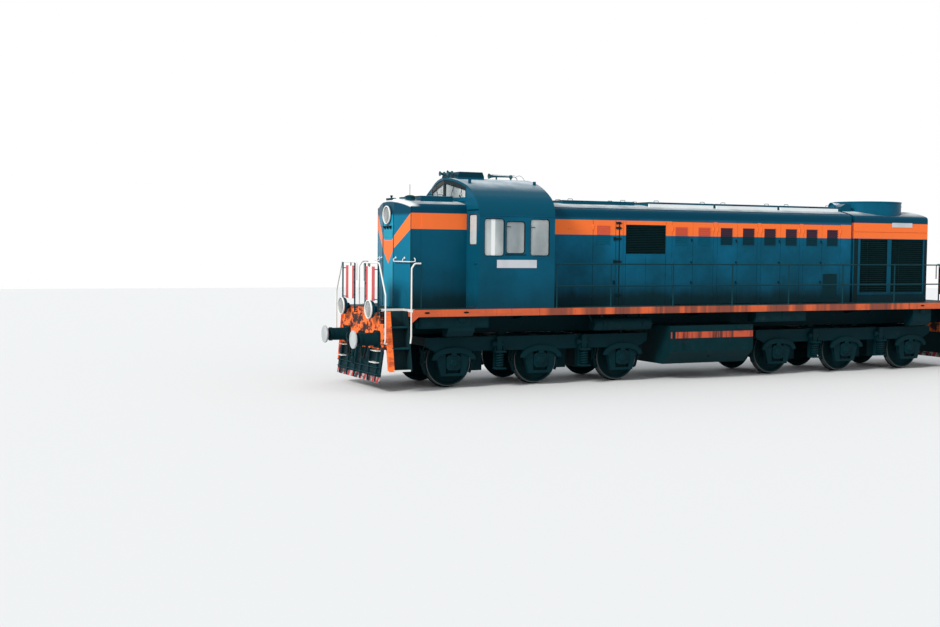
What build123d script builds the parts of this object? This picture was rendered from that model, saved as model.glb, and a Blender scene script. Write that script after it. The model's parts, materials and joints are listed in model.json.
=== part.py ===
"""Six-axle diesel shunting locomotive with a cab near one end, in millimetres.

X runs along the locomotive: the short hood is at -X and the radiator at +X.
The origin is on the floor under the middle of the frame. The wheel flanges touch the floor,
so a rail's top would lie one flange depth above it. Heights are written from the rail's top.
Round things that are small or repeat often are drawn with flat sides.
"""

import os
from math import atan2, cos, sin, sqrt

from build123d import *

os.makedirs("parts", exist_ok=True)

# Wheels and axles
tread_radius = 525.0
flange_depth = 28.0
wheel_back = 680.0        # inner face of a rim from the centre line
flange_w = 30.0
rim_width = 135.0
rim_t = 75.0
web_recess = 55.0
axle_radius = 90.0
journal_radius = 65.0
journal_end = 1090.0
bearing_clear = 11.0
wheel_sides = 16
web_sides = 10
rail_top = flange_depth
axle_z = rail_top + tread_radius

# Bogies
pivot_x = 4300.0
axle_pitch = 2100.0
axle_offsets = (-axle_pitch, 0.0, axle_pitch)
bogie_top = rail_top + 1060.0
side_frame_y = 960.0
side_frame_t = 100.0
side_frame_h = 300.0
bogie_nose = 660.0        # the frame past its end axles
end_beam_t = 70.0
end_beam_h = 170.0
transom_x = axle_pitch / 2
transom_w = 250.0
transom_h = 310.0
bolster_half = 250.0
bolster_h = 240.0
jaw_low = rail_top + 240.0
jaw_foot = 280.0
jaw_head = 420.0
tie_bar_h = 55.0
box_half = 160.0
box_clear = 12.0
box_cover_t = 30.0
beam_half = 560.0
beam_foot = 130.0
beam_rise = 150.0
beam_drop = 190.0         # the feet of an arched beam under its middle
spring_y = 1165.0
spring_radius = 90.0
spring_turns = 3
spring_gap = 0.2
spring_taper = 40.0
spring_low = rail_top + 395.0
spring_high = rail_top + 725.0
seat_t = 30.0
seat_w = 120.0
motor_half = 540.0
motor_low = rail_top + 290.0
motor_clear = 60.0

# Pivots between the frame and the bogies
pin_radius = 150.0
pin_clear = 10.0
pin_depth = 200.0
pivot_gap = 12.0
bearer_half = 80.0
bearer_y = 500.0
bearer_x = 700.0

# Frame and deck
half_width = 1540.0
frame_end = 8050.0
deck_top = rail_top + 1680.0
deck_t = 40.0
sill_depth = 150.0
sill_t = 30.0
sill_return = 300.0
gusset_w = 130.0
gusset_h = 110.0
stair_x = 7540.0
stair_y = 1050.0
beam_y = 500.0
beam_w = 180.0
beam_gap = 55.0           # between the bogies and the beams over them
beam_bottom = bogie_top + beam_gap
outrigger_pitch = 2350.0
outrigger_t = 60.0
outrigger_tip = 90.0
outrigger_root = 260.0
locker_low = rail_top + 1285.0
locker_in = 1150.0
locker_out = 1460.0
sand_half = 300.0
sand_gap = 40.0           # between a sand box and the bogie under it
sand_slope = 120.0
reservoir_radius = 125.0
reservoir_y = 1225.0
reservoir_z = rail_top + 1295.0
reservoir_strap = 30.0
headstock_t = 60.0
headstock_top = rail_top + 1375.0
headstock_bottom = rail_top + 850.0
headstock_half = 1250.0
guard_t = 25.0
guard_rake = 90.0
guard_low = rail_top + 170.0
guard_lap = 20.0
post_lap = 60.0

# Buffers and couplings
buffer_face = 8610.0
buffer_y = 875.0
buffer_z = rail_top + 1050.0
buffer_head_radius = 188.0
buffer_head_t = 50.0
buffer_foot = 180.0
buffer_case_radius = 150.0
buffer_stem_radius = 95.0
hook_z = rail_top + 1050.0
link_t = 32.0

# Hoods
hood_half = 940.0
short_half = 920.0
hood_wall = 50.0
hood_end = 4500.0
hood_eave = rail_top + 3820.0
hood_crown = rail_top + 3990.0
eave_radius = 90.0
roof_base = rail_top + 3600.0
nose_x = 7470.0
nose_corner = 7340.0
nose_flat = 320.0
short_eave = rail_top + 3850.0
side_panel_t = 12.0
side_panel_start = 7100.0

# Radiator hood
neck_length = 110.0
neck_inset = 70.0
radiator_length = 2420.0
radiator_start = hood_end + neck_length
radiator_end = radiator_start + radiator_length
recess = 60.0
bank_low = rail_top + 1886.0
bank_high = rail_top + 3264.0
bank_inset = 130.0
mullion = 60.0
blades = 9

# Engine room doors, counted back from the end of the hood
door_count = 4
door_pitch = 1274.0
last_seam = hood_end - 915.0
door_seams = [last_seam - n * door_pitch for n in reversed(range(door_count))]
leaf_width = 570.0
leaf_t = 35.0
leaf_gap = 8.0
leaf_low = deck_top + 15.0
leaf_high = roof_base - leaf_gap
leaf_reach = leaf_width + leaf_gap / 2
vent_w = 310.0
vent_low = rail_top + 3083.0
vent_high = rail_top + 3464.0
vent_from_seam = 320.0
vent_depth = 20.0
vent_slats = 3

# Cab
cab_front = -6050.0
cab_rear = -4240.0
cab_wall = 60.0
crease_z = rail_top + 3650.0
arch_rise = 820.0
arch_side_radius = 500.0
roof_t = 50.0
roof_lip = 25.0
gutter_t = 12.0
gutter_h = 20.0
screen_lead = 120.0       # how far the windscreen's post stands ahead of the wall
pane_t = 12.0
pane_corner = 45.0
door_step_off = 45.0      # the cab doors start this far outside the hoods
cab_door_in = hood_half + door_step_off
door_jamb = 5.0
cab_door_w = half_width - cab_wall - door_jamb - cab_door_in
cab_door_t = 40.0
cab_door_low = deck_top + 50.0
cab_door_high = rail_top + 3740.0

# Roof fan
fan_x = radiator_start + radiator_length / 2 + 10.0
drum_radius = 860.0
drum_wall = 40.0
drum_sides = 20
drum_low = rail_top + 3840.0
drum_high = rail_top + 4220.0
fan_gap = 30.0
fan_z = rail_top + 4040.0
fan_hub = 140.0
fan_blades = 8
blade_root = 60.0
blade_tip = 100.0
seat_gap = 5.0

# Rails
tube = 17.0
walk_rail_y = half_width - 25.0
rail_high = rail_top + 2627.0
rail_mid = rail_top + 2147.0
post_pitch = 1640.0
post_count = 7
first_post = -2800.0
gate_y = 310.0            # the open gangway between the end railings
gate_x = 8110.0
board_low = rail_top + 1840.0
board_high = rail_top + 2550.0
board_edge = 850.0

parts = []


def block(x0, x1, y0, y1, z0, z1, mode=Mode.ADD):
    """A box between two corners, added to the part that is being built."""
    with Locations(((x0 + x1) / 2, (y0 + y1) / 2, (z0 + z1) / 2)):
        Box(abs(x1 - x0), abs(y1 - y0), abs(z1 - z0), mode=mode)


def bar(start, end, radius, sides=6, mode=Mode.ADD):
    """A round bar with flat sides, from one point to another."""
    a, b = Vector(*start), Vector(*end)
    with BuildSketch(Plane(origin=a, z_dir=b - a)) as section:
        RegularPolygon(radius, sides, major_radius=False, rotation=180 / sides)
    extrude(section.sketch, amount=(b - a).length, mode=mode)


def pipe(points, radius, sides=6):
    """A bent pipe in straight runs with mitred corners."""
    with BuildLine() as route:
        Polyline(*points)
    first, second = Vector(*points[0]), Vector(*points[1])
    with BuildSketch(Plane(origin=first, z_dir=second - first)) as section:
        RegularPolygon(radius, sides, major_radius=False, rotation=180 / sides)
    sweep(section.sketch, path=route.line, transition=Transition.RIGHT)


def keep(part, name):
    part.label = name
    export_step(part, f"parts/{name}.step")
    parts.append(part)


def arch(half, base, rise, side_radius, inset=0.0):
    """Outline of a three-centred arch, as a face that stands on the line z = base."""
    crown = ((half - side_radius) ** 2 + rise**2 - side_radius**2) / (2 * (rise - side_radius))
    low = base + rise - crown
    turn = atan2(base - low, half - side_radius)
    r, c = side_radius - inset, crown - inset
    side_x = half - side_radius
    meet = (c * cos(turn), low + c * sin(turn))
    mid = (side_x + r * cos(turn / 2), base + r * sin(turn / 2))
    foot = half - inset
    with BuildLine() as outline:
        ThreePointArc((foot, base), mid, meet)
        ThreePointArc(meet, (0, low + c), (-meet[0], meet[1]))
        ThreePointArc((-meet[0], meet[1]), (-mid[0], mid[1]), (-foot, base))
        Line((-foot, base), (foot, base))
    make_face(outline.edges())


def hood_section(half, eave, bottom):
    """Section of a hood: straight sides under a low arched roof."""
    with BuildLine() as outline:
        Polyline((half, eave), (half, bottom), (-half, bottom), (-half, eave))
        ThreePointArc((-half, eave), (0, hood_crown), (half, eave))
    make_face(outline.edges())


def eaves_of(part, eave):
    return [e for e in part.edges().filter_by(Axis.X) if abs(e.center().Z - eave) < 1]


# Wheelsets: an axle and its two wheels turn as one
flange_radius = tread_radius + flange_depth
wheel_face = wheel_back + rim_width
wheel_discs = (
    # radius, from, to, sides, what is done
    (flange_radius, wheel_back, wheel_back + flange_w, wheel_sides, Mode.ADD),
    (tread_radius, wheel_back + flange_w, wheel_face, wheel_sides, Mode.ADD),
    (tread_radius - rim_t, wheel_face - web_recess, wheel_face, web_sides, Mode.SUBTRACT),
    (axle_radius, 0.0, wheel_back, 6, Mode.ADD),
    (journal_radius, wheel_face - web_recess, journal_end, 6, Mode.ADD),
)


def wheelset(x):
    with BuildPart() as solid:
        for radius, start, end, sides, mode in wheel_discs:
            bar((x, start, axle_z), (x, end, axle_z), radius, sides, mode)
        mirror(about=Plane.XZ)
    return solid.part


number = 0
for pivot in (-pivot_x, pivot_x):
    for offset in axle_offsets:
        number += 1
        keep(wheelset(pivot + offset), f"wheelset_{number}")


# Bogie frames: side frames with jaws and spring seats, joined by cross members
bogie_half = axle_pitch + bogie_nose
frame_low = bogie_top - side_frame_h
frame_face = side_frame_y + side_frame_t
jaw_outline = (
    # from the axle, height
    (-jaw_head, frame_low), (-jaw_foot, jaw_low), (jaw_foot, jaw_low), (jaw_head, frame_low),
)


def bogie_frame(x):
    jaw = box_half + box_clear
    under = [(axle + along, z) for axle in axle_offsets for along, z in jaw_outline]
    end_low = bogie_top - end_beam_h
    ends = [(bogie_half, end_low), (bogie_half, bogie_top), (-bogie_half, bogie_top), (-bogie_half, end_low)]
    outline = [*under, *ends]
    with BuildPart() as solid:
        with BuildSketch(Plane.XZ.offset(-side_frame_y)):
            with Locations((x, 0)):
                Polygon(*outline, align=None)
        extrude(amount=-side_frame_t)
        for axle in axle_offsets:
            block(x + axle - jaw, x + axle + jaw, side_frame_y, frame_face, jaw_low + tie_bar_h,
                  axle_z + box_half + 2 * box_clear, Mode.SUBTRACT)
        for spot in (-transom_x, transom_x):
            for low in (spring_low - seat_t, spring_high):
                block(x + spot - seat_w, x + spot + seat_w, frame_face, spring_y + spring_radius,
                      low, low + seat_t)
            block(x + spot - seat_w / 2, x + spot + seat_w / 2, side_frame_y, frame_face,
                  spring_low - seat_t, frame_low)
            block(x + spot - seat_w / 2, x + spot + seat_w / 2, frame_face, spring_y, spring_high + seat_t,
                  bogie_top)
        mirror(about=Plane.XZ)
        for spot in (-transom_x, transom_x):
            block(x + spot - transom_w / 2, x + spot + transom_w / 2, -side_frame_y, side_frame_y,
                  bogie_top - transom_h, bogie_top)
        for side in (-1, 1):
            block(x + side * (bogie_half - end_beam_t), x + side * bogie_half, -side_frame_y, side_frame_y,
                  end_low, bogie_top)
        block(x - transom_x, x + transom_x, -bolster_half, bolster_half, bogie_top - bolster_h, bogie_top)
        bar((x, 0, bogie_top - transom_h), (x, 0, bogie_top), pin_radius + pin_clear, 8, Mode.SUBTRACT)
    return solid.part


# Axle boxes under their arched beams, and the coil springs between the seats
beam_low = axle_z + box_half + 2 * box_clear
beam_outline = (
    # from the axle, above the beam's underside
    (-beam_half, -beam_drop), (-beam_half + beam_foot, -beam_drop), (-330.0, 0.0), (330.0, 0.0),
    (beam_half - beam_foot, -beam_drop), (beam_half, -beam_drop), (beam_half - 60.0, 40.0),
    (330.0, beam_rise), (-330.0, beam_rise), (60.0 - beam_half, 40.0),
)


def coil_spring(x):
    """Stacked turns, each a tapered ring that narrows to the core above and below its middle."""
    pitch = (spring_high - spring_low - 2 * spring_gap) / spring_turns
    for n in range(spring_turns):
        middle = spring_low + spring_gap + (n + 0.5) * pitch
        for direction in (1, -1):
            level = Plane(origin=(x, spring_y, middle), x_dir=(1, 0, 0), z_dir=(0, 0, direction))
            with BuildSketch(level) as ring:
                RegularPolygon(spring_radius, 6, major_radius=False)
            extrude(ring.sketch, amount=pitch / 2, taper=spring_taper)


def spring_gear(x):
    box_face = journal_end + box_cover_t
    with BuildPart() as solid:
        for axle in axle_offsets:
            block(x + axle - box_half, x + axle + box_half, side_frame_y - 40, box_face,
                  axle_z - box_half, axle_z + box_half)
            bar((x + axle, side_frame_y - 41, axle_z), (x + axle, journal_end + bearing_clear / 2, axle_z),
                journal_radius + bearing_clear, mode=Mode.SUBTRACT)
            with BuildSketch(Plane.XZ.offset(-frame_face - 5)):
                with Locations((x + axle, beam_low)):
                    Polygon(*beam_outline, align=None)
            extrude(amount=-(box_face - frame_face - 5))
            block(x + axle - box_half / 2, x + axle + box_half / 2, frame_face + 5, box_face,
                  axle_z + box_half, beam_low)
        for spot in (-transom_x, transom_x):
            coil_spring(x + spot)
        mirror(about=Plane.XZ)
    return solid.part


# Traction motors hang between the axles and the cross members
def traction_motors(x):
    edge = transom_x + transom_w / 2
    rows = (
        # from, to
        (-axle_pitch + motor_clear + axle_radius, -edge),
        (motor_clear + axle_radius, transom_x - transom_w / 2),
        (edge, axle_pitch - motor_clear - axle_radius),
    )
    with BuildPart() as solid:
        for start, end in rows:
            block(x + start, x + end, -motor_half, motor_half, motor_low, bogie_top - transom_h + motor_clear)
    return solid.part


for pivot, end in ((-pivot_x, "front"), (pivot_x, "rear")):
    keep(bogie_frame(pivot), f"bogie_frame_{end}")
    keep(spring_gear(pivot), f"spring_gear_{end}")
    keep(traction_motors(pivot), f"traction_motors_{end}")


# Main frame: two long beams with outriggers and a box over each bogie, and what hangs under the deck:
# lockers behind the sills, sand boxes over the outer axles and two air reservoirs
deck_low = deck_top - deck_t
tank_x = 1150.0
sand_x = pivot_x + axle_pitch
sand_low = bogie_top + sand_gap
lockers = (
    # from, to
    (180.0 - stair_x, 1770.0 - stair_x),
    (tank_x + 70.0, tank_x + 1550.0),
)
reservoir = (-tank_x - 1950.0, -tank_x - 450.0)
with BuildPart() as main_frame:
    for start, end in lockers:
        block(start, end, locker_in, locker_out, locker_low, deck_low)
    for x in (-sand_x, sand_x):
        with BuildSketch(Plane.YZ.offset(x - sand_half)):
            Polygon(
                (locker_in, deck_low), (locker_out, deck_low), (locker_out, sand_low + sand_slope),
                (locker_out - sand_slope, sand_low), (locker_in, sand_low),
                align=None,
            )
        extrude(amount=2 * sand_half)
    bar((reservoir[0], reservoir_y, reservoir_z), (reservoir[1], reservoir_y, reservoir_z), reservoir_radius)
    for x in (reservoir[0] + 8 * reservoir_strap, reservoir[1] - 8 * reservoir_strap):
        block(x - reservoir_strap, x + reservoir_strap,
              reservoir_y - reservoir_strap, reservoir_y + reservoir_strap, reservoir_z, deck_low)
    mirror(about=Plane.XZ)
    inner_end = frame_end - headstock_t
    for y in (-beam_y, beam_y):
        block(-inner_end, inner_end, y - beam_w / 2, y + beam_w / 2, beam_bottom, deck_low)
    tip = half_width - sill_t
    reach = int(stair_x / outrigger_pitch)
    for n in range(-reach, reach + 1):
        with BuildSketch(Plane.YZ.offset(n * outrigger_pitch - outrigger_t / 2)):
            Polygon(
                (-tip, deck_low), (tip, deck_low), (tip, deck_low - outrigger_tip),
                (beam_y, deck_low - outrigger_root), (-beam_y, deck_low - outrigger_root),
                (-tip, deck_low - outrigger_tip),
                align=None,
            )
        extrude(amount=outrigger_t)
    for x in (-pivot_x, pivot_x):
        bearers = bearer_x + bearer_half
        block(x - bearers, x + bearers, -beam_y - beam_w / 2, beam_y + beam_w / 2, beam_bottom, deck_low)
keep(main_frame.part, "main_frame")


# Pivot pins and the side bearers round them
with BuildPart() as pivot_pins:
    for x in (-pivot_x, pivot_x):
        bar((x, 0, bogie_top - pin_depth), (x, 0, beam_bottom), pin_radius, 8)
        for y in (-bearer_y, bearer_y):
            for along in (-bearer_x, bearer_x):
                block(x + along - bearer_half, x + along + bearer_half, y - bearer_half, y + bearer_half,
                      bogie_top + pivot_gap, beam_bottom)
keep(pivot_pins.part, "pivot_pins")


# Deck: one plate with the corners cut for the stairs, and the side sills under its edge
with BuildPart() as deck:
    block(-frame_end, frame_end, -half_width, half_width, deck_low, deck_top)
    sill_low = deck_top - sill_depth
    for x in (-1, 1):
        for y in (-1, 1):
            block(x * stair_x, x * frame_end, y * stair_y, y * half_width, deck_low, deck_top, Mode.SUBTRACT)
    for y in (-1, 1):
        block(-stair_x, stair_x, y * (half_width - sill_t), y * half_width, sill_low, deck_top)
        for x in (-1, 1):
            block(x * (stair_x - sill_t), x * stair_x, y * (half_width - sill_return), y * half_width,
                  sill_low, deck_top)
    for plane_y in (half_width - sill_t, -half_width):
        with BuildSketch(Plane.XZ.offset(-plane_y)):
            for x in (-1, 1):
                Polygon((x * stair_x, sill_low), (x * stair_x, sill_low - gusset_h),
                        (x * (stair_x - gusset_w), sill_low), align=None)
        extrude(amount=-sill_t)
keep(deck.part, "deck")


# Buffer beams, each with the rail guard that hangs under it
with BuildPart() as buffer_beams:
    plate = (-frame_end, -frame_end + headstock_t)
    block(*plate, -headstock_half, headstock_half, headstock_bottom, headstock_top)
    block(*plate, -stair_y, stair_y, headstock_top, deck_low)
    with BuildSketch(Plane.XZ.offset(-headstock_half)):
        Polygon(
            (-frame_end, headstock_bottom + guard_lap), (-frame_end - guard_t, headstock_bottom + guard_lap),
            (-frame_end - guard_t - guard_rake, guard_low), (-frame_end - guard_rake, guard_low),
            (-frame_end, headstock_bottom - post_lap),
            align=None,
        )
    extrude(amount=2 * headstock_half)
    mirror(about=Plane.YZ)
keep(buffer_beams.part, "buffer_beams")


# Buffers: a case on a square foot, the stem and the round head
buffer_steps = (
    # radius, from the beam, to the face, sides
    (buffer_case_radius, 0.0, 70.0, 8),
    (buffer_stem_radius, 60.0, 10.0, 6),
    (buffer_head_radius, None, 0.0, 12),
)
with BuildPart() as buffers:
    for side in (-1, 1):
        block(side * frame_end, side * (frame_end + sill_t), buffer_y - buffer_foot, buffer_y + buffer_foot,
              buffer_z - buffer_foot, buffer_z + buffer_foot)
        for radius, start, short_of, sides in buffer_steps:
            begin = buffer_face - buffer_head_t if start is None else frame_end + start
            bar((side * begin, buffer_y, buffer_z), (side * (buffer_face - short_of), buffer_y, buffer_z),
                radius, sides)
    mirror(about=Plane.XZ)
keep(buffers.part, "buffers")


# Draw hooks with the screw couplings that hang from them
hook_outline = (
    # ahead of the beam, above the hook's line
    (0.0, -60.0), (180.0, -60.0), (250.0, -105.0), (330.0, -80.0), (365.0, 0.0), (340.0, 90.0), (300.0, 80.0),
    (305.0, 20.0), (265.0, -10.0), (230.0, 15.0), (205.0, 60.0), (0.0, 60.0),
)
screw_x = frame_end + 215.0
screw_low = hook_z - 330.0
shackle_low = hook_z - 560.0
with BuildPart() as couplings:
    with BuildSketch(Plane.XZ.offset(-link_t)):
        Polygon(*((-frame_end - x, hook_z + z) for x, z in hook_outline), align=None)
    extrude(amount=2 * link_t)
    block(-frame_end - sill_t, -frame_end, -buffer_foot, buffer_foot, hook_z - 120, hook_z + 120)
    block(-screw_x - link_t / 2, -screw_x + link_t / 2, -2 * link_t, 2 * link_t, hook_z - link_t, hook_z)
    for y in (-1.6 * link_t, 1.6 * link_t):
        bar((-screw_x, y, hook_z - link_t), (-screw_x, y, screw_low + link_t), link_t / 2, 6)
        bar((-screw_x, y, shackle_low + 4 * link_t), (-screw_x, y, shackle_low), link_t / 2, 6)
    bar((-screw_x, 0, screw_low), (-screw_x, 0, shackle_low + 3 * link_t), link_t * 0.8, 6)
    for z in (screw_low, shackle_low + 3 * link_t, shackle_low - link_t):
        block(-screw_x - link_t / 2, -screw_x + link_t / 2, -2.6 * link_t, 2.6 * link_t, z, z + 1.2 * link_t)
    mirror(about=Plane.YZ)
keep(couplings.part, "couplings")


# Stairs at the four corners: two slanted stringers, three treads and a closed back behind them
tread_heights = (rail_top + 1330.0, rail_top + 900.0, rail_top + 450.0)
tread_t = 30.0
tread_depth = 240.0
stringer_w = 120.0
stringer_t = 25.0
back_t = 12.0
stringer_low = rail_top + 420.0
stair_lean = 250.0        # how much further out the foot is than the top
stair_top_y = half_width - stair_lean
foot_y = half_width
with BuildPart() as end_stairs:
    fall = deck_low - stringer_low
    for x, width in ((-frame_end, stringer_w), (-stair_x - stringer_t, stringer_t)):
        with BuildSketch(Plane.YZ.offset(x)):
            Polygon((stair_top_y - stringer_t, deck_low), (stair_top_y, deck_low), (foot_y, stringer_low),
                    (foot_y - stringer_t, stringer_low), align=None)
        extrude(amount=width)
    for x in (-frame_end + headstock_t, -stair_x - stringer_t):
        with BuildSketch(Plane.YZ.offset(x)):
            Polygon((stair_top_y - tread_depth, deck_low), (stair_top_y, deck_low), (foot_y, stringer_low),
                    (foot_y - tread_depth, stringer_low), align=None)
        extrude(amount=stringer_t)
    with BuildSketch(Plane.YZ.offset(-frame_end + headstock_t)):
        Polygon((stair_top_y - tread_depth, deck_low), (stair_top_y - tread_depth + back_t, deck_low),
                (foot_y - tread_depth + back_t, stringer_low), (foot_y - tread_depth, stringer_low),
                align=None)
    extrude(amount=frame_end - headstock_t - stair_x)
    for z in tread_heights:
        edge = foot_y - stair_lean * (z - stringer_low) / fall
        block(-frame_end + headstock_t, -stair_x, edge - tread_depth, edge, z - tread_t, z)
    mirror(about=Plane.XZ)
    mirror(about=Plane.YZ)
    for x in (-1, 1):
        block(x * (frame_end - headstock_t), x * frame_end, -headstock_half, headstock_half,
              headstock_bottom, headstock_top, Mode.SUBTRACT)
keep(end_stairs.part, "end_stairs")


# Fuel tank under the middle of the frame, with the beams let into its top
tank_half = half_width - 90.0
tank_top = rail_top + 1225.0
tank_saddle = beam_y + beam_w / 2
tank_side_low = rail_top + 640.0
tank_bottom = rail_top + 340.0
tank_bottom_half = tank_half - 330.0
with BuildPart() as fuel_tank:
    with BuildSketch(Plane.YZ.offset(-tank_x)):
        Polygon(
            (-tank_half, tank_top), (-tank_saddle, tank_top), (-tank_saddle, beam_bottom),
            (tank_saddle, beam_bottom), (tank_saddle, tank_top), (tank_half, tank_top), (tank_half, tank_side_low),
            (tank_bottom_half, tank_bottom), (-tank_bottom_half, tank_bottom), (-tank_half, tank_side_low),
            align=None,
        )
    extrude(amount=2 * tank_x)
keep(fuel_tank.part, "fuel_tank")


# Short hood: closed, with a flat nose, two slanted facets and a raised panel on each side
with BuildPart() as short_hood:
    with BuildSketch(Plane.YZ.offset(-nose_x)):
        hood_section(short_half, short_eave, deck_top)
    extrude(amount=cab_front + nose_x)
    with BuildSketch(Plane.XY.offset(deck_top)):
        for side in (-1, 1):
            Polygon((-nose_x, side * short_half), (-nose_corner, side * short_half),
                    (-nose_x, side * nose_flat), align=None)
    extrude(amount=hood_crown - deck_top, mode=Mode.SUBTRACT)
    brow = short_hood.faces().sort_by(Axis.Z)[-1].edges().sort_by(Axis.X)[:-1]
    fillet(brow, eave_radius)
    for side in (-1, 1):
        block(-side_panel_start, cab_front, side * short_half, side * (short_half + side_panel_t),
              deck_top, short_eave - eave_radius)
keep(short_hood.part, "short_hood")


# Cab end walls: a windscreen over the hood, a doorway on one side and a tall window on the other
screen_low = rail_top + 4030.0
screen_high = rail_top + 4345.0
screen_edge = 860.0
screen_drop = 170.0
post_half = 55.0
screen_half = hood_half
screen_base = hood_crown - roof_t
tall_low = rail_top + 3020.0
tall_high = rail_top + 3660.0
tall_in = cab_door_in + 65.0
tall_out = cab_door_in + cab_door_w - 70.0
side_panes = (
    # from the cab's front, width, bottom, top
    (120.0, 475.0, rail_top + 2784.0, rail_top + 3578.0),
    (632.0, 456.0, rail_top + 2836.0, rail_top + 3525.0),
    (1212.0, 468.0, rail_top + 2790.0, rail_top + 3583.0),
)


def screen_pane(side):
    """One half of the windscreen, its top edge falling with the roof."""
    Polygon((side * post_half, screen_low), (side * screen_edge, screen_low),
            (side * screen_edge, screen_high - screen_drop), (side * post_half, screen_high), align=None)


def screen_band(x, lead, thickness):
    """The windscreen's wall or glass: a strip in plan whose middle stands ahead of its ends by the lead."""
    with BuildSketch(Plane.XY.offset(screen_base)) as plan:
        Polygon((x, screen_half), (x - lead, 0), (x, -screen_half), (x + thickness, -screen_half),
                (x + thickness - lead, 0), (x + thickness, screen_half), align=None)
    extrude(plan.sketch, amount=crease_z + arch_rise - screen_base)


def cab_end(x, door_side, lead):
    """One end wall; door_side is the side of the doorway, lead how far the screen's post stands out."""
    with BuildPart() as solid:
        screen_band(x, lead, cab_wall)
        with BuildSketch(Plane.YZ.offset(x - lead)):
            arch(half_width, crease_z, arch_rise, arch_side_radius, roof_t)
        extrude(amount=cab_wall + lead, mode=Mode.INTERSECT)
        if lead:
            with BuildSketch(Plane.YZ.offset(x - lead)):
                hood_section(short_half, short_eave, deck_top)
            extrude(amount=lead, mode=Mode.SUBTRACT)
        with BuildSketch(Plane.YZ.offset(x)):
            with Locations((0, (deck_top + crease_z) / 2)):
                Rectangle(2 * half_width, crease_z - deck_top)
            arch(half_width, crease_z, arch_rise, arch_side_radius, roof_t)
            with Locations((0, screen_base)):
                Rectangle(2 * screen_half, arch_rise, align=(Align.CENTER, Align.MIN), mode=Mode.SUBTRACT)
        extrude(amount=cab_wall)
        with BuildSketch(Plane.YZ.offset(x - lead)):
            for side in (-1, 1):
                screen_pane(side)
        extrude(amount=cab_wall + lead, mode=Mode.SUBTRACT)
        through = (x, x + cab_wall)
        block(*through, door_side * (cab_door_in - leaf_gap), door_side * (cab_door_in + cab_door_w + door_jamb),
              cab_door_low - leaf_gap, cab_door_high + leaf_gap, Mode.SUBTRACT)
        block(*through, -door_side * tall_in, -door_side * tall_out, tall_low, tall_high, Mode.SUBTRACT)
    return solid.part


front_wall = cab_end(cab_front, -1, screen_lead)
rear_wall = cab_end(cab_rear - cab_wall, 1, 0.0)
keep(Compound(children=[front_wall, rear_wall]), "cab_end_walls")


def pane_block(row, y, thickness, mode=Mode.ADD):
    """A side window's outline with cut corners, from the plane y to one thickness further out."""
    start, width, low, high = row
    with BuildSketch(Plane.XZ.offset(-y)) as outline:
        with Locations((cab_front + start + width / 2, (low + high) / 2)):
            Rectangle(width, high - low)
        chamfer(outline.vertices(), pane_corner)
    extrude(outline.sketch, amount=-thickness, mode=mode)


# Cab side walls with three windows each, and the rain gutter under the roof's edge
with BuildPart() as cab_side_walls:
    block(cab_front + cab_wall, cab_rear - cab_wall, half_width - cab_wall, half_width, deck_top, crease_z)
    for row in side_panes:
        pane_block(row, half_width - cab_wall, cab_wall, Mode.SUBTRACT)
    block(cab_front, cab_rear, half_width, half_width + gutter_t, crease_z - gutter_h, crease_z)
    mirror(about=Plane.XZ)
keep(cab_side_walls.part, "cab_side_walls")


# Cab roof: an arched shell that rests on the walls, pointed over the windscreen
with BuildPart() as cab_roof:
    with BuildSketch(Plane.XY.offset(crease_z)):
        Polygon((cab_rear, -half_width), (cab_rear, half_width), (cab_front, half_width),
                (cab_front, screen_half), (cab_front - screen_lead - roof_lip, 0), (cab_front, -screen_half),
                (cab_front, -half_width), align=None)
    extrude(amount=arch_rise)
    with BuildSketch(Plane.YZ.offset(cab_front - screen_lead - roof_lip)):
        arch(half_width, crease_z, arch_rise, arch_side_radius)
    extrude(amount=cab_rear - cab_front + screen_lead + roof_lip, mode=Mode.INTERSECT)
    with BuildSketch(Plane.YZ.offset(cab_front - screen_lead - roof_lip)):
        arch(half_width, crease_z, arch_rise, arch_side_radius, roof_t)
    extrude(amount=cab_rear - cab_front + screen_lead + roof_lip, mode=Mode.SUBTRACT)
keep(cab_roof.part, "cab_roof")


# Window panes, halfway through the walls
with BuildPart() as cab_windows:
    half_in = (cab_wall - pane_t) / 2
    for x, lead in ((cab_front, screen_lead), (cab_rear - cab_wall, 0.0)):
        screen_band(x + half_in, lead, pane_t)
    with BuildSketch(Plane.YZ.offset(cab_front - screen_lead)):
        for side in (-1, 1):
            screen_pane(side)
    extrude(amount=cab_rear - cab_front + screen_lead, mode=Mode.INTERSECT)
    for row in side_panes:
        pane_block(row, half_width - half_in - pane_t, pane_t)
        pane_block(row, half_in - half_width, pane_t)
    for x, blind in ((cab_front, 1), (cab_rear - cab_wall, -1)):
        block(x + half_in, x + half_in + pane_t, blind * tall_in, blind * tall_out, tall_low, tall_high)
keep(cab_windows.part, "cab_windows")


# Cab doors, hinged on the side of the hood and opening over the walkway
def cab_door(x, side):
    with BuildPart() as solid:
        block(x, x + cab_door_t, side * cab_door_in, side * (cab_door_in + cab_door_w),
              cab_door_low, cab_door_high)
        block(x, x + cab_door_t, side * tall_in, side * tall_out, tall_low, tall_high, Mode.SUBTRACT)
    return solid.part


keep(cab_door(cab_front, -1), "cab_door_front")
keep(cab_door(cab_rear - cab_door_t, 1), "cab_door_rear")


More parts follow.
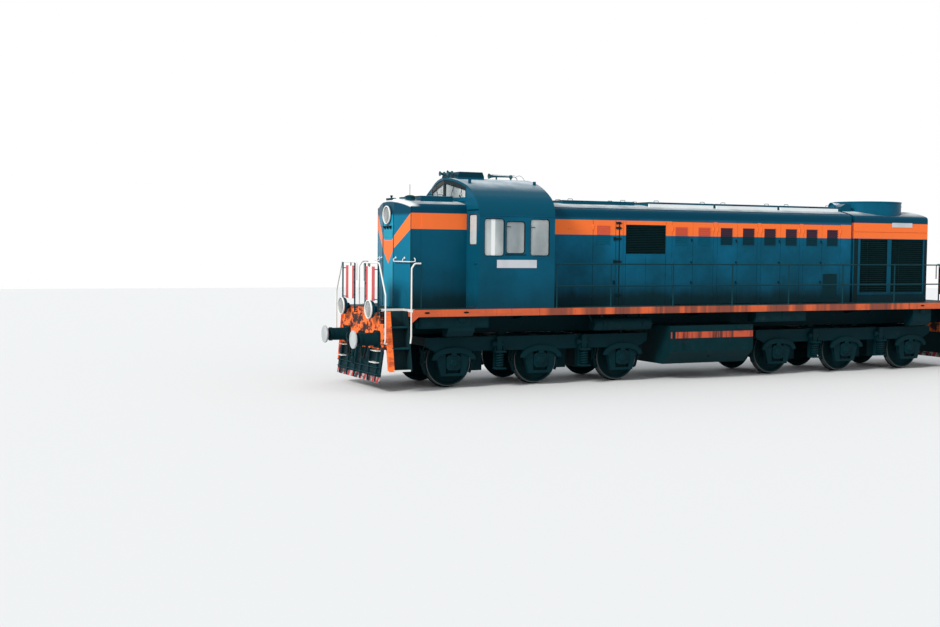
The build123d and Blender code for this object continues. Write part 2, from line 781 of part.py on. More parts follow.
# Cab furniture: a sloped control desk with a locker, and two seats on pedestals
desk_x = cab_front + 750.0
desk_outline = (
    # behind the desk's front, above the deck
    (0.0, 0.0), (400.0, 0.0), (450.0, 850.0), (300.0, 1050.0), (-30.0, 950.0),
)
desk_near, desk_far = 250.0, 1150.0
locker = (cab_front + 150.0, cab_front + 550.0, -1100.0, -300.0)
locker_h = 900.0
with BuildPart() as control_desk:
    with BuildSketch(Plane.XZ.offset(-desk_near)):
        with Locations((desk_x, deck_top)):
            Polygon(*desk_outline, align=None)
    extrude(amount=desk_near - desk_far)
    block(*locker, deck_top, deck_top + locker_h)
keep(control_desk.part, "control_desk")

seats = (
    # middle, across
    (cab_front + 900.0, -800.0),
    (cab_front + 1440.0, 800.0),
)
seat_top = deck_top + 500.0
seat_back_top = deck_top + 1050.0
cushion_t = 100.0
cushion_half = 225.0
with BuildPart() as cab_seats:
    for x, y in seats:
        bar((x, y, deck_top), (x, y, seat_top - cushion_t), cushion_half / 4)
        across = (y - cushion_half, y + cushion_half)
        block(x - cushion_half, x + cushion_half, *across, seat_top - cushion_t, seat_top)
        block(x + cushion_half - cushion_t, x + cushion_half, *across, seat_top, seat_back_top)
keep(cab_seats.part, "cab_seats")


# Engine hood: the arched roof and upper sides
with BuildPart() as hood_roof:
    with BuildSketch(Plane.YZ.offset(cab_rear)):
        hood_section(hood_half, hood_eave, roof_base)
    extrude(amount=hood_end - cab_rear)
    fillet(eaves_of(hood_roof, hood_eave), eave_radius)
    block(cab_rear + hood_wall, hood_end - hood_wall, -hood_half + hood_wall, hood_half - hood_wall,
          roof_base, hood_eave - hood_wall, Mode.SUBTRACT)
keep(hood_roof.part, "hood_roof")


# Engine hood: the fixed side panels and door posts, which stand on the deck under the roof
grille = (cab_rear + 2170.0, cab_rear + 3250.0, rail_top + 2850.0, rail_top + 3510.0)
side_door = (cab_rear + 1310.0, cab_rear + 1900.0)
latch_post = (cab_rear + 1940.0, cab_rear + 2085.0)
seam_groove = 10.0
grille_slats = 9
with BuildPart() as hood_panels:
    edges = [cab_rear]
    for seam in door_seams:
        edges += [seam - leaf_reach - leaf_gap, seam + leaf_reach + leaf_gap]
    edges.append(hood_end)
    for left, right in zip(edges[0::2], edges[1::2]):
        block(left, right, hood_half - hood_wall, hood_half, deck_top, roof_base)
    block(grille[0], grille[1], hood_half - hood_wall, hood_half, grille[2], grille[3], Mode.SUBTRACT)
    middle = (grille[0] + grille[1]) / 2
    for x in (*side_door, *grille[:2], middle):
        high = grille[2] - post_lap if x in (*grille[:2], middle) else leaf_high
        block(x - leaf_gap / 2, x + leaf_gap / 2, hood_half - seam_groove, hood_half,
              leaf_low, high, Mode.SUBTRACT)
    block(*latch_post, hood_half, hood_half + side_panel_t, leaf_low, leaf_high)
    mirror(about=Plane.XZ)
keep(hood_panels.part, "hood_panels")


def slatted(x0, x1, back, face, low, high, count):
    """Slats on a back plate, drawn as one toothed section."""
    pitch = (high - low) / count
    teeth = [(back, low)]
    for n in range(count):
        z = low + n * pitch
        teeth += [(face, z), (face - (face - back) * 0.8, z + pitch)]
    teeth.append((back, high))
    with BuildSketch(Plane.YZ.offset(x0)) as section:
        Polygon(*teeth, align=None)
    extrude(section.sketch, amount=x1 - x0)


# Engine room doors: near side first, then the far side
def engine_door(seam, hand, side):
    """A leaf with its vent; hand is the side of the seam that it lies on, side the side of the hood."""
    middle = seam + hand * vent_from_seam
    vent = (middle - vent_w / 2, middle + vent_w / 2)
    with BuildPart() as solid:
        block(seam + hand * leaf_gap / 2, seam + hand * leaf_reach, hood_half - leaf_t, hood_half,
              leaf_low, leaf_high)
        block(*vent, hood_half - vent_depth, hood_half, vent_low, vent_high, Mode.SUBTRACT)
        slatted(*vent, hood_half - vent_depth, hood_half - vent_depth / 4, vent_low, vent_high, vent_slats)
    return solid.part if side > 0 else solid.part.mirror(Plane.XZ)


number = 0
for side in (-1, 1):
    for seam in door_seams:
        for hand in (-1, 1):
            number += 1
            keep(engine_door(seam, hand, side), f"engine_door_{number}")


# Engine and generator, one plain block
engine = (cab_rear + 1940.0, hood_end - 800.0)
engine_half = 600.0
engine_h = 1750.0
with BuildPart() as engine_block:
    block(*engine, -engine_half, engine_half, deck_top, deck_top + engine_h)
keep(engine_block.part, "engine_block")


# Radiator hood, with recesses for the shutters and a seat for the fan drum
banks = (
    # from, to
    (radiator_start + bank_inset, fan_x - mullion / 2 - 80.0),
    (fan_x + mullion / 2 - 80.0, radiator_end - bank_inset),
)
slot_z = rail_top + 3430.0
slot_h = 14.0
with BuildPart() as radiator_hood:
    with BuildSketch(Plane.YZ.offset(radiator_start)):
        hood_section(hood_half, hood_eave, deck_top)
    extrude(amount=radiator_end - radiator_start)
    fillet(eaves_of(radiator_hood, hood_eave), eave_radius)
    block(hood_end, radiator_start, neck_inset - hood_half, hood_half - neck_inset, deck_top, hood_eave)
    for side in (-1, 1):
        for x0, x1 in banks:
            block(x0, x1, side * (hood_half - recess), side * hood_half, bank_low, bank_high, Mode.SUBTRACT)
        block(radiator_start, radiator_end, side * (hood_half - slot_h), side * hood_half,
              slot_z, slot_z + slot_h, Mode.SUBTRACT)
    bar((fan_x, 0, drum_low), (fan_x, 0, drum_high), drum_radius + seat_gap, drum_sides, Mode.SUBTRACT)
    bar((fan_x, 0, drum_low), (fan_x, 0, fan_z - fan_hub / 2 - fan_gap / 2), fan_hub)
keep(radiator_hood.part, "radiator_hood")


# Shutter banks in the sides of the radiator hood, with the hood's own louvres
with BuildPart() as louvres:
    for x0, x1 in banks:
        slatted(x0, x1, hood_half - recess, hood_half - slot_h, bank_low, bank_high, blades)
    slatted(grille[0], grille[1], hood_half - hood_wall, hood_half, grille[2], grille[3], grille_slats)
    mirror(about=Plane.XZ)
keep(louvres.part, "louvres")


# Fan drum with its guard, and the rotor inside
guard_bar = 18.0
with BuildPart() as fan_drum:
    bar((fan_x, 0, drum_low), (fan_x, 0, drum_high), drum_radius, drum_sides)
    bar((fan_x, 0, drum_low), (fan_x, 0, drum_high), drum_radius - drum_wall, drum_sides, Mode.SUBTRACT)
    for y in range(-600, 601, 300):
        reach = sqrt((drum_radius - drum_wall / 2) ** 2 - y**2)
        block(fan_x - reach, fan_x + reach, y - guard_bar, y + guard_bar, drum_high - guard_bar, drum_high)
keep(fan_drum.part, "fan_drum")

with BuildPart() as fan_rotor:
    root = fan_hub - guard_bar
    reach = drum_radius - drum_wall - fan_gap
    bar((fan_x, 0, fan_z - fan_hub / 2), (fan_x, 0, fan_z + fan_hub / 2), fan_hub, 12)
    for n in range(fan_blades):
        with BuildSketch(Plane(origin=(fan_x, 0, fan_z)).rotated((0, 0, 360 / fan_blades * n))):
            Polygon((root, -blade_root), (reach, -blade_tip), (reach, blade_tip), (root, blade_root), align=None)
        extrude(amount=guard_bar / 2, both=True)
keep(fan_rotor.part, "fan_rotor")


# Roof fittings: hatches over the hoods, a vent cap, a cowl, lifting lugs and the cab's air conditioner
hatch_t = 50.0
hatches = (
    # from, to, half width
    (-side_panel_start + 130.0, cab_front - screen_lead - 60.0, 600.0),
    (cab_rear + 840.0, cab_rear + 2740.0, 380.0),
    (cab_rear + 3040.0, cab_rear + 4840.0, 560.0),
    (cab_rear + 4940.0, cab_rear + 6740.0, 560.0),
    (cab_rear + 6840.0, hood_end - 100.0, 560.0),
)
cap_x, cap_y, cap_radius = -nose_x + 300.0, -480.0, 95.0
cowl_outline = (
    # from the hood's end, above the crown
    (40.0, -120.0), (400.0, -120.0), (400.0, 150.0), (220.0, 150.0), (80.0, 80.0),
)
cowl_far, cowl_near = 60.0, 460.0
cooler_outline = (
    # from the cab's front, height
    (20.0, crease_z + 600.0), (650.0, crease_z + 600.0), (650.0, crease_z + 850.0), (610.0, crease_z + 945.0),
    (60.0, crease_z + 945.0), (20.0, crease_z + 850.0),
)
cooler_half = 420.0
lug_y = 800.0
lug_size = 60.0
with BuildPart() as roof_fittings:
    for start, end, half in hatches:
        block(start, end, -half, half, hood_eave, hood_crown + hatch_t)
    bar((cap_x, cap_y, hood_eave), (cap_x, cap_y, hood_crown), cap_radius, 8)
    with BuildSketch(Plane.XZ.offset(cowl_far)):
        with Locations((hood_end, hood_crown)):
            Polygon(*cowl_outline, align=None)
    extrude(amount=cowl_near - cowl_far)
    for half, eave, start, end in (
        (short_half, short_eave, -nose_x, cab_front),
        (hood_half, hood_eave, cab_rear, radiator_end),
    ):
        with BuildSketch(Plane.YZ.offset(start)):
            hood_section(half, eave, roof_base)
        extrude(amount=end - start, mode=Mode.SUBTRACT)
    with BuildSketch(Plane.XZ.offset(-cooler_half)):
        with Locations((cab_front, 0)):
            Polygon(*cooler_outline, align=None)
    extrude(amount=2 * cooler_half)
    for x in (cab_front + 2 * lug_size, cab_rear - 2 * lug_size):
        for y in (-lug_y, lug_y):
            block(x - lug_size / 2, x + lug_size / 2, y - lug_size / 4, y + lug_size / 4,
                  crease_z + arch_rise / 2, crease_z + arch_rise - lug_size)
    with BuildSketch(Plane.YZ.offset(cab_front - screen_lead)):
        arch(half_width, crease_z, arch_rise, arch_side_radius)
    extrude(amount=cab_rear - cab_front + screen_lead, mode=Mode.SUBTRACT)
keep(roof_fittings.part, "roof_fittings")


# Horns: a pair over the windscreen and a long one behind the air conditioner
horn_pair_y = 200.0
horn_z = crease_z + arch_rise + 130.0
horn_steps = (
    # from the mouth, to, radius
    (0.0, 30.0, 58.0),
    (30.0, 70.0, 34.0),
    (70.0, 140.0, 48.0),
)
trumpet = (cab_front + 780.0, cab_front + 1640.0)
with BuildPart() as horns:
    mouth = cab_front - screen_lead - 20.0
    for y in (-horn_pair_y, horn_pair_y):
        for start, end, radius in horn_steps:
            bar((mouth + start, y, horn_z), (mouth + end, y, horn_z), radius)
        block(mouth + 90, mouth + 120, y - tube, y + tube, horn_z - lug_y / 4, horn_z)
    long_z = horn_z - 3 * tube
    bar((trumpet[0], 0, long_z), (trumpet[0] + 90, 0, long_z), 3 * tube)
    bar((trumpet[0] + 90, 0, long_z), (trumpet[1], 0, long_z), 1.3 * tube)
    for x in (trumpet[0] + 120, trumpet[1] - 60):
        block(x, x + 2 * tube, -tube, tube, long_z - 8 * tube, long_z)
    with BuildSketch(Plane.YZ.offset(cab_front - screen_lead - roof_lip)):
        arch(half_width, crease_z, arch_rise, arch_side_radius)
    extrude(amount=cab_rear - cab_front + screen_lead + roof_lip, mode=Mode.SUBTRACT)
keep(horns.part, "horns")


# Railings across both ends: dark posts with the striped boards
post_low = deck_low - 100.0
strap_y = 560.0
under_rail = rail_high - 1.3 * tube
with BuildPart() as end_railings:
    for y in (gate_y, stair_y):
        block(-gate_x - tube, -gate_x + tube, y - tube, y + tube, post_low, under_rail)
        block(-gate_x, -frame_end, y - 1.5 * tube, y + 1.5 * tube, deck_low, deck_top)
    block(-gate_x - tube / 3, -gate_x + tube / 3, gate_y, board_edge, board_low, board_high)
    block(-gate_x - tube / 3, -gate_x + tube / 3, strap_y - tube, strap_y + tube, board_high, under_rail)
    mirror(about=Plane.XZ)
    mirror(about=Plane.YZ)
keep(end_railings.part, "end_railings")


# Grab rails beside the stairs; the front one runs on over the end railing to the gangway
grab_y = half_width - 80.0
grab_low = rail_top + 990.0
grab_shoulder = rail_top + 1980.0
gate_leg_y = gate_y - 100.0
gate_leg_low = rail_top + 2240.0
rear_grab_y = half_width - 40.0
rear_grab_x = stair_x + tube
rear_foot_x = nose_corner
with BuildPart() as grab_rails:
    foot = stair_top_y + stair_lean * (deck_low - grab_low) / (deck_low - stringer_low) - stringer_t / 2
    pipe(
        (
            (-frame_end, foot, grab_low), (-gate_x, foot, grab_low), (-gate_x, grab_y, grab_low + 4 * tube),
            (-gate_x, grab_y, grab_shoulder), (-gate_x, stair_y + 3 * tube, rail_high),
            (-gate_x, gate_leg_y, rail_high), (-gate_x, gate_leg_y, gate_leg_low),
        ),
        tube,
        5,
    )
    pipe(
        (
            (-rear_grab_x - tube, rear_grab_y, grab_low), (-rear_grab_x, rear_grab_y, grab_low + 8 * tube),
            (-rear_grab_x, rear_grab_y, rail_high - 6 * tube),
            (-rear_grab_x + 4 * tube, rear_grab_y, rail_high),
            (-rear_foot_x, rear_grab_y, rail_high), (-rear_foot_x, rear_grab_y, deck_top),
        ),
        tube,
        5,
    )
    mirror(about=Plane.XZ)
    mirror(about=Plane.YZ)
keep(grab_rails.part, "grab_rails")


# Handrails along the walkways, and their posts between deck and rails
walk_posts = [first_post + n * post_pitch for n in range(post_count)]
rail_ends = (cab_rear + 60.0, rear_foot_x - 4 * tube)
with BuildPart() as side_handrails:
    for z in (rail_mid, rail_high):
        bar((rail_ends[0], walk_rail_y, z), (rail_ends[1], walk_rail_y, z), tube)
    mirror(about=Plane.XZ)
keep(side_handrails.part, "side_handrails")

with BuildPart() as rail_posts:
    for x in (rail_ends[0] + tube, *walk_posts):
        for low, high in ((deck_top, rail_mid - tube), (rail_mid + tube, rail_high - tube)):
            block(x - tube, x + tube, walk_rail_y - tube, walk_rail_y + tube, low, high)
    mirror(about=Plane.XZ)
keep(rail_posts.part, "rail_posts")


# Headlamps: two low and one high at each end, each a case round a sunken lens
low_lamp = (820.0, rail_top + 1667.0)
high_lamp = (0.0, rail_top + 3640.0)
lamp_steps = (
    # radius, in front of the lamp's back, length, sides, what is done
    (200.0, 0.0, 1.0, 10, Mode.ADD),
    (165.0, 0.85, 0.15, 10, Mode.SUBTRACT),
)
lamps = (
    # place, back of the case, depth, neck
    (low_lamp, -frame_end - 78.0, 125.0, 78.0),
    (high_lamp, -nose_x, 60.0, 0.0),
    (low_lamp, frame_end + 78.0, 125.0, 78.0),
    (high_lamp, radiator_end, 60.0, 0.0),
)
neck_radius = 100.0
with BuildPart() as headlamps:
    for (y, z), back, depth, neck in lamps:
        facing = 1 if back > 0 else -1
        for radius, start, length, sides, mode in lamp_steps:
            begin = back + facing * depth * start
            bar((begin, y, z), (begin + facing * depth * length, y, z), radius, sides, mode)
        if neck:
            bar((back, y, z), (back - facing * neck, y, z), neck_radius)
    mirror(about=Plane.XZ)
keep(headlamps.part, "headlamps")


# Brake hoses: each loops from its cock down and back up to the holder on the beam
hose_radius = 22.0
hose_z = hook_z - 80.0
hose_route = (
    # from the beam, from the centre line, under the cock
    (0.0, 290.0, 0.0), (105.0, 290.0, 0.0), (150.0, 310.0, -90.0), (150.0, 360.0, -310.0),
    (150.0, 430.0, -360.0), (150.0, 500.0, -310.0), (105.0, 570.0, 0.0), (0.0, 570.0, 0.0),
)
with BuildPart() as brake_hoses:
    pipe([(-frame_end - x, y, hose_z + z) for x, y, z in hose_route], hose_radius, 5)
    mirror(about=Plane.XZ)
    mirror(about=Plane.YZ)
keep(brake_hoses.part, "brake_hoses")

print(len(parts), "nodes")
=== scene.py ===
# %% [markdown]
# # A six-axle diesel shunter
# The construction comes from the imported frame: every plate, wheel, door and rail is already there at its
# real size. This script gives those pieces their paint, dirt, glass and small fittings, and never moves one
# of them. X runs along the locomotive, its cab near -X, Z is up and all lengths are metres. The wheel
# flanges stand on Z = 0.

# %% Load the frame
import json
import math
from itertools import product

import bmesh
import bpy
from mathutils import Matrix, Vector

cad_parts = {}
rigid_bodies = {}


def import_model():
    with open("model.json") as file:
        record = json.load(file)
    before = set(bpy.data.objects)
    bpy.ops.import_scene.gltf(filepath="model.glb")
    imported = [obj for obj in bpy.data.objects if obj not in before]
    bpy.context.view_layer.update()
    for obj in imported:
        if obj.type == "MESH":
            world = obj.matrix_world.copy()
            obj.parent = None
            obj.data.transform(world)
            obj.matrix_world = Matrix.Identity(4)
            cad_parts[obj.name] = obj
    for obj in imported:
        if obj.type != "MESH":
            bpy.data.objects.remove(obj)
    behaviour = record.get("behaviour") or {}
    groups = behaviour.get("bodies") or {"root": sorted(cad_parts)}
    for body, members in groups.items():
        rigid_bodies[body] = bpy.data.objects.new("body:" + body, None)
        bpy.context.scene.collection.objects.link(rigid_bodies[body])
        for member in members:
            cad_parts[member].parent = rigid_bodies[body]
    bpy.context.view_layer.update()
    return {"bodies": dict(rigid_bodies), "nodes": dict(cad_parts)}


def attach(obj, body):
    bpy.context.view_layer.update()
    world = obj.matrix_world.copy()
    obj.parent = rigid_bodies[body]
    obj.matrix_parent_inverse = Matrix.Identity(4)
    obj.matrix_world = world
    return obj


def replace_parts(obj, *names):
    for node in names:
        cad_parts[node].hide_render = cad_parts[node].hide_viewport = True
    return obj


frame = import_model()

nodes = frame["nodes"]
print("nodes:", len(nodes), "bodies:", len(frame["bodies"]))

# %% [markdown]
# ## Camera
# The picture was taken from beyond the short hood's corner, a little above the walkway, with a long normal
# lens. The place and the focal length were worked out from the wheelbase and the buffers, whose sizes are
# standard, so the camera is written as a place, three angles and a focal length in picture widths.

# %% Camera at the photograph's viewpoint
RAIL = 0.028             # the flanges reach this far below the rail's top
PICTURE_WIDTH, FOCAL_PIXELS = 940, 1295.3
SENSOR_WIDTH = 36.0
CAMERA_PLACE = (-17.938, -25.832, 3.012 + RAIL)
VIEW_YAW, VIEW_PITCH, VIEW_ROLL = math.radians(25.70), math.radians(-3.02), 0.0099

camera_data = bpy.data.cameras.new("camera")
camera_data.sensor_fit = "HORIZONTAL"
camera_data.sensor_width = SENSOR_WIDTH
camera_data.lens = SENSOR_WIDTH * FOCAL_PIXELS / PICTURE_WIDTH
camera_data.clip_end = 400.0
camera = bpy.data.objects.new("camera", camera_data)
bpy.context.scene.collection.objects.link(camera)
ahead = Vector((math.sin(VIEW_YAW) * math.cos(VIEW_PITCH), math.cos(VIEW_YAW) * math.cos(VIEW_PITCH),
                math.sin(VIEW_PITCH)))
right = Vector((math.cos(VIEW_YAW), -math.sin(VIEW_YAW), 0.0))
up = right.cross(ahead)
rolled_right = right * math.cos(VIEW_ROLL) + up * math.sin(VIEW_ROLL)
rolled_up = up * math.cos(VIEW_ROLL) - right * math.sin(VIEW_ROLL)
turn = Matrix((rolled_right, rolled_up, -ahead)).transposed().to_4x4()
camera.matrix_world = Matrix.Translation(CAMERA_PLACE) @ turn
bpy.context.scene.camera = camera
print("lens:", round(camera_data.lens, 1), "mm")

# %% [markdown]
# ## Floor and light
# The real light is a hazy sky with the sun behind the camera's left shoulder, so the nose is brighter than
# the side. A pale sky lights everything evenly and one broad sun lamp adds the direction. The background
# is made white by Light Path, for the camera and for reflections alone, so that no extra light falls on the
# paint. The floor is a plain pale plane.

# %% Floor, sky and sun
bpy.context.scene.view_settings.view_transform = "Standard"
SKY_COLOUR, SKY_STRENGTH = (0.93, 0.97, 1.0, 1.0), 0.72
SUN_STRENGTH = 2.95
FLOOR_HALF = 60.0


def sky_world():
    world = bpy.data.worlds.new("sky")
    world.use_nodes = True
    tree = world.node_tree
    tree.nodes.clear()
    path = tree.nodes.new("ShaderNodeLightPath")
    seen = path.outputs["Is Camera Ray"]
    for ray in ("Is Glossy Ray", "Is Transmission Ray"):
        either = tree.nodes.new("ShaderNodeMath")
        either.operation = "MAXIMUM"
        tree.links.new(seen, either.inputs[0])
        tree.links.new(path.outputs[ray], either.inputs[1])
        seen = either.outputs[0]
    choose = tree.nodes.new("ShaderNodeMixShader")
    tree.links.new(seen, choose.inputs[0])
    for socket, tone, strength in ((1, SKY_COLOUR, SKY_STRENGTH), (2, (1.0, 1.0, 1.0, 1.0), 1.0)):
        light = tree.nodes.new("ShaderNodeBackground")
        light.inputs["Color"].default_value = tone
        light.inputs["Strength"].default_value = strength
        tree.links.new(light.outputs[0], choose.inputs[socket])
    out = tree.nodes.new("ShaderNodeOutputWorld")
    tree.links.new(choose.outputs[0], out.inputs["Surface"])
    bpy.context.scene.world = world


def pale_floor():
    mesh = bpy.data.meshes.new("floor")
    s = FLOOR_HALF
    mesh.from_pydata([(-s, -s, 0), (s, -s, 0), (s, s, 0), (-s, s, 0)], [], [(0, 1, 2, 3)])
    floor = bpy.data.objects.new("floor", mesh)
    bpy.context.scene.collection.objects.link(floor)
    material = bpy.data.materials.new("pale_floor")
    material.use_nodes = True
    shader = material.node_tree.nodes["Principled BSDF"]
    shader.inputs["Base Color"].default_value = (0.74, 0.75, 0.76, 1.0)
    shader.inputs["Roughness"].default_value = 0.9
    mesh.materials.append(material)


def hazy_sun():
    data = bpy.data.lights.new("sun", "SUN")
    data.energy = SUN_STRENGTH
    data.angle = math.radians(14)
    data.color = (1.0, 0.97, 0.92)
    sun = bpy.data.objects.new("sun", data)
    bpy.context.scene.collection.objects.link(sun)
    toward = Vector((0.90, 0.36, -0.60))
    sun.rotation_euler = toward.to_track_quat("-Z", "Y").to_euler()


sky_world()
pale_floor()
hazy_sun()
print("world:", bpy.context.scene.world.name)

# %% [markdown]
# ## Arithmetic on sockets
# Paint and dirt follow rules such as "orange between two heights, less where the grime is". Written as
# nodes by hand such a rule is long, so one small class wraps a socket and lets Python's own operators add
# the Math nodes.

# %% Wire, a socket that can be used in sums


class Wire:
    """One value inside a material. An operator on it adds the Math node that works the result out."""

    def __init__(self, finish, socket):
        self.finish, self.socket = finish, socket

    def math(self, operation, *others):
        return self.finish.node("Math", {"operation": operation}, *others)[0]

    def __add__(self, other):
        return self.math("ADD", self, other)

    def __sub__(self, other):
        return self.math("SUBTRACT", self, other)

    def __rsub__(self, other):
        return self.math("SUBTRACT", other, self)

    def __mul__(self, other):
        return self.math("MULTIPLY", self, other)

    __radd__, __rmul__ = __add__, __mul__

    def __abs__(self):
        return self.math("ABSOLUTE", self)

    def least(self, other):
        return self.math("MINIMUM", self, other)

    def most(self, other):
        return self.math("MAXIMUM", self, other)

    def wrap(self, length):
        return self.math("PINGPONG", self, length)

    def rise(self, low, high):
        """0 below low and 1 above high, with a smooth step between; high may be the smaller one."""
        smooth = {"interpolation_type": "SMOOTHSTEP"}
        return self.finish.node("MapRange", smooth, self, low, high, 0.0, 1.0)[0]

    def between(self, low, high, soft=0.003):
        return self.rise(low - soft, low + soft) * self.rise(high + soft, high - soft)


class Finish:
    """A material and the one shader in it."""

    def __init__(self, name, slot):
        self.name, self.slot = name, slot
        self.material = bpy.data.materials.new(name)
        self.material.use_nodes = True
        self.tree = self.material.node_tree
        self.tree.nodes.clear()
        self.shader = self.tree.nodes.new("ShaderNodeBsdfPrincipled")
        out = self.tree.nodes.new("ShaderNodeOutputMaterial")
        self.tree.links.new(self.shader.outputs[0], out.inputs["Surface"])
        self.place = self.node("TexCoord")["Object"]
        self.x, self.y, self.z = (Wire(self, s) for s in self.node("SeparateXYZ", {}, self.place).sockets)

    def feed(self, socket, value):
        if isinstance(value, Wire):
            self.tree.links.new(value.socket, socket)
        else:
            socket.default_value = value

    def node(self, kind, settings={}, *ordered, **named):
        """Adds a node of a type, sets its settings first, then feeds its sockets in order or by name."""
        made = self.tree.nodes.new("ShaderNode" + kind)
        for key, value in settings.items():
            setattr(made, key, value)
        for socket, value in zip([s for s in made.inputs if s.enabled], ordered):
            self.feed(socket, value)
        for key, value in named.items():
            self.feed(made.inputs[key.replace("_", " ")], value)
        return Outputs(self, made)

    def noise(self, scale, detail=4.0, roughness=0.55, stretch=(1.0, 1.0, 1.0), place=None):
        place = place or self.place
        if stretch != (1.0, 1.0, 1.0):
            place = self.node("VectorMath", {"operation": "MULTIPLY"}, place, stretch)[0]
        return self.node("TexNoise", {}, Vector=place, Scale=scale, Detail=detail, Roughness=roughness)[0]

    def mix(self, mask, below, above):
        """The colour below where mask is 0 and above where it is 1."""
        made = self.node("Mix", {"data_type": "RGBA"}, mask, colour(below), colour(above))
        return Wire(self, made.made.outputs[2])

    def bump(self, height, distance, strength):
        return self.node("Bump", {}, Height=height, Distance=distance, Strength=strength)[0]

    def coat(self, **named):
        """Sets or links the shader's own sockets."""
        for key, value in named.items():
            self.feed(self.shader.inputs[key.replace("_", " ")], colour(value) if "Color" in key else value)
        return self


class Outputs:
    """The outputs of a node that was just made, by place or by name."""

    def __init__(self, finish, made):
        self.finish, self.made = finish, made

    @property
    def sockets(self):
        return [s for s in self.made.outputs if s.enabled]

    def __getitem__(self, key):
        socket = self.sockets[key] if isinstance(key, int) else self.made.outputs[key]
        return Wire(self.finish, socket)


def colour(value):
    """Three numbers become a colour with full alpha; a wire stays as it is."""
    if isinstance(value, tuple) and len(value) == 3:
        return (*value, 1.0)
    return value


print("wires ready")

# %% [markdown]
# ## Paint, dirt and painted light
# Nearly everything on this locomotive is painted sheet, so one body paint carries the whole look: teal with
# an orange band, faded in patches, dirty and darker near the deck, pale on top with dust and a painted sky
# reflection, and a painted sunlit tone on the nose. A texture image would need unwrapping of sixty parts.
# Every mesh keeps its real place, so the paint can ask for the height and the distance along the vehicle
# instead.

# %% Colours of the paints
TEAL = (0.003, 0.120, 0.225)
TEAL_DEEP = (0.002, 0.064, 0.110)
TEAL_SHOULDER_SHADE = (0.001, 0.046, 0.084)
TEAL_NOSE_SUNLIT = (0.003, 0.150, 0.255)
TEAL_CENTRE_SUNLIT = (0.010, 0.285, 0.440)
ORANGE = (0.92, 0.178, 0.040)
ORANGE_WORN = (0.48, 0.085, 0.030)
OFF_WHITE = (0.74, 0.75, 0.73)
DIRT_AND_LOW_DARK = (0.004, 0.020, 0.025)
DUST = (0.40, 0.46, 0.48)
UNDERFRAME = (0.0008, 0.0125, 0.0165)
RUST = (0.075, 0.040, 0.026)
SKY_PALE = (0.80, 0.84, 0.85)
SCREEN_SHADE = (0.012, 0.020, 0.022)
DARK_TEAL = (0.001, 0.030, 0.048)
PAINT_GLOSS = 0.05       # the pale sky would veil old paint at the usual level of reflection


def streaked_dirt(finish, high, low):
    """How dirty a surface is: clean above the height high, thick at the height low, drawn down in streaks."""
    streaks = finish.noise(6.5, 4.0, stretch=(1.0, 1.0, 0.06))
    blotches = finish.noise(1.3, 5.0)
    depth = finish.z.rise(high + RAIL, low + RAIL)
    return (depth * (blotches * 0.9 + 0.25) * (streaks * 0.9 + 0.45)).least(1.0)


def facing_up(finish, low=0.93, high=0.995):
    """1 where a surface lies flat under the sky, 0 on walls; low and high are the normal's upward part."""
    normal = finish.node("NewGeometry")["Normal"]
    return finish.node("SeparateXYZ", {}, normal)[2].rise(low, high)


print("paints ready")

# %% [markdown]
# ## The orange band
# On the real body the band runs level along the hoods and drops to a point on the nose, as a V across three
# flat faces. A band that is drawn on each face meets its neighbour badly at the corners. Here its two edges
# are heights that depend only on the distance from the centre line, so it turns both corners of the nose
# without a break.

# %% Body paint
NOSE_FLAT, NOSE_SIDE = 0.32, 0.92


def between_nose_and_side(finish, centre, corner, side):
    """A height that changes with the distance from the centre line, in two straight runs."""
    out = abs(finish.y)
    inner = out.least(NOSE_FLAT) * ((corner - centre) / NOSE_FLAT) + (centre + RAIL)
    outer = (out.least(NOSE_SIDE) - NOSE_FLAT).most(0.0) * ((side - corner) / (NOSE_SIDE - NOSE_FLAT))
    return inner + outer


def orange_band(finish):
    """1 inside the band: a V on the nose, level stripes along the engine hood and the radiator."""
    x, z = finish.x, finish.z
    low = between_nose_and_side(finish, 2.60, 2.93, 3.34)
    high = between_nose_and_side(finish, 2.93, 3.19, 3.675)
    high = high.most(abs(finish.y).rise(0.322, 0.320) * (3.10 + RAIL))
    nose = (z - low).rise(-0.003, 0.003) * (high - z).rise(-0.003, 0.003) * x.rise(-6.052, -6.056)
    walls = abs(finish.y).rise(0.925, 0.930)
    hood = z.between(3.27 + RAIL, 3.60 + RAIL) * x.between(-4.238, 4.50, 0.001) * walls
    radiator = z.between(3.276 + RAIL, 3.660 + RAIL) * x.between(4.59, 7.1, 0.001)
    return nose.most(hood).most(radiator)


def sunk_vents(finish):
    """1 on what lies inside the vent of a door; the seams between the leaves are 1.274 m apart."""
    from_seam, behind = (finish.x + 0.237).wrap(0.637), abs(finish.y).between(0.9165, 0.9375, 0.0005)
    return behind * finish.z.between(3.09, 3.52) * from_seam.between(0.14, 0.50)


def everywhere(finish):
    return finish.z.rise(0.0, 0.1)


def shade_round_screen(finish):
    """1 on the dark band round the windows at both ends of the cab, a painted shade that makes them look
    wider.
    """
    ends = finish.x.rise(-6.051, -6.055).most(finish.x.between(-4.2405, -4.20, 0.0005))
    return ends * finish.z.rise(4.045, 4.050) * abs(finish.y).rise(0.90, 0.895)


def hatch_sides(finish):
    """1 on the flanks of the hatches over the engine, which face the sky's edge and shine."""
    return finish.x.rise(-1.25, -1.20) * finish.z.rise(4.036, 4.030) * abs(finish.y).rise(0.50, 0.52)


def air_box(finish):
    """1 on the box that stands on the cab's roof, and on the fittings beside it."""
    return finish.z.rise(4.500, 4.508)


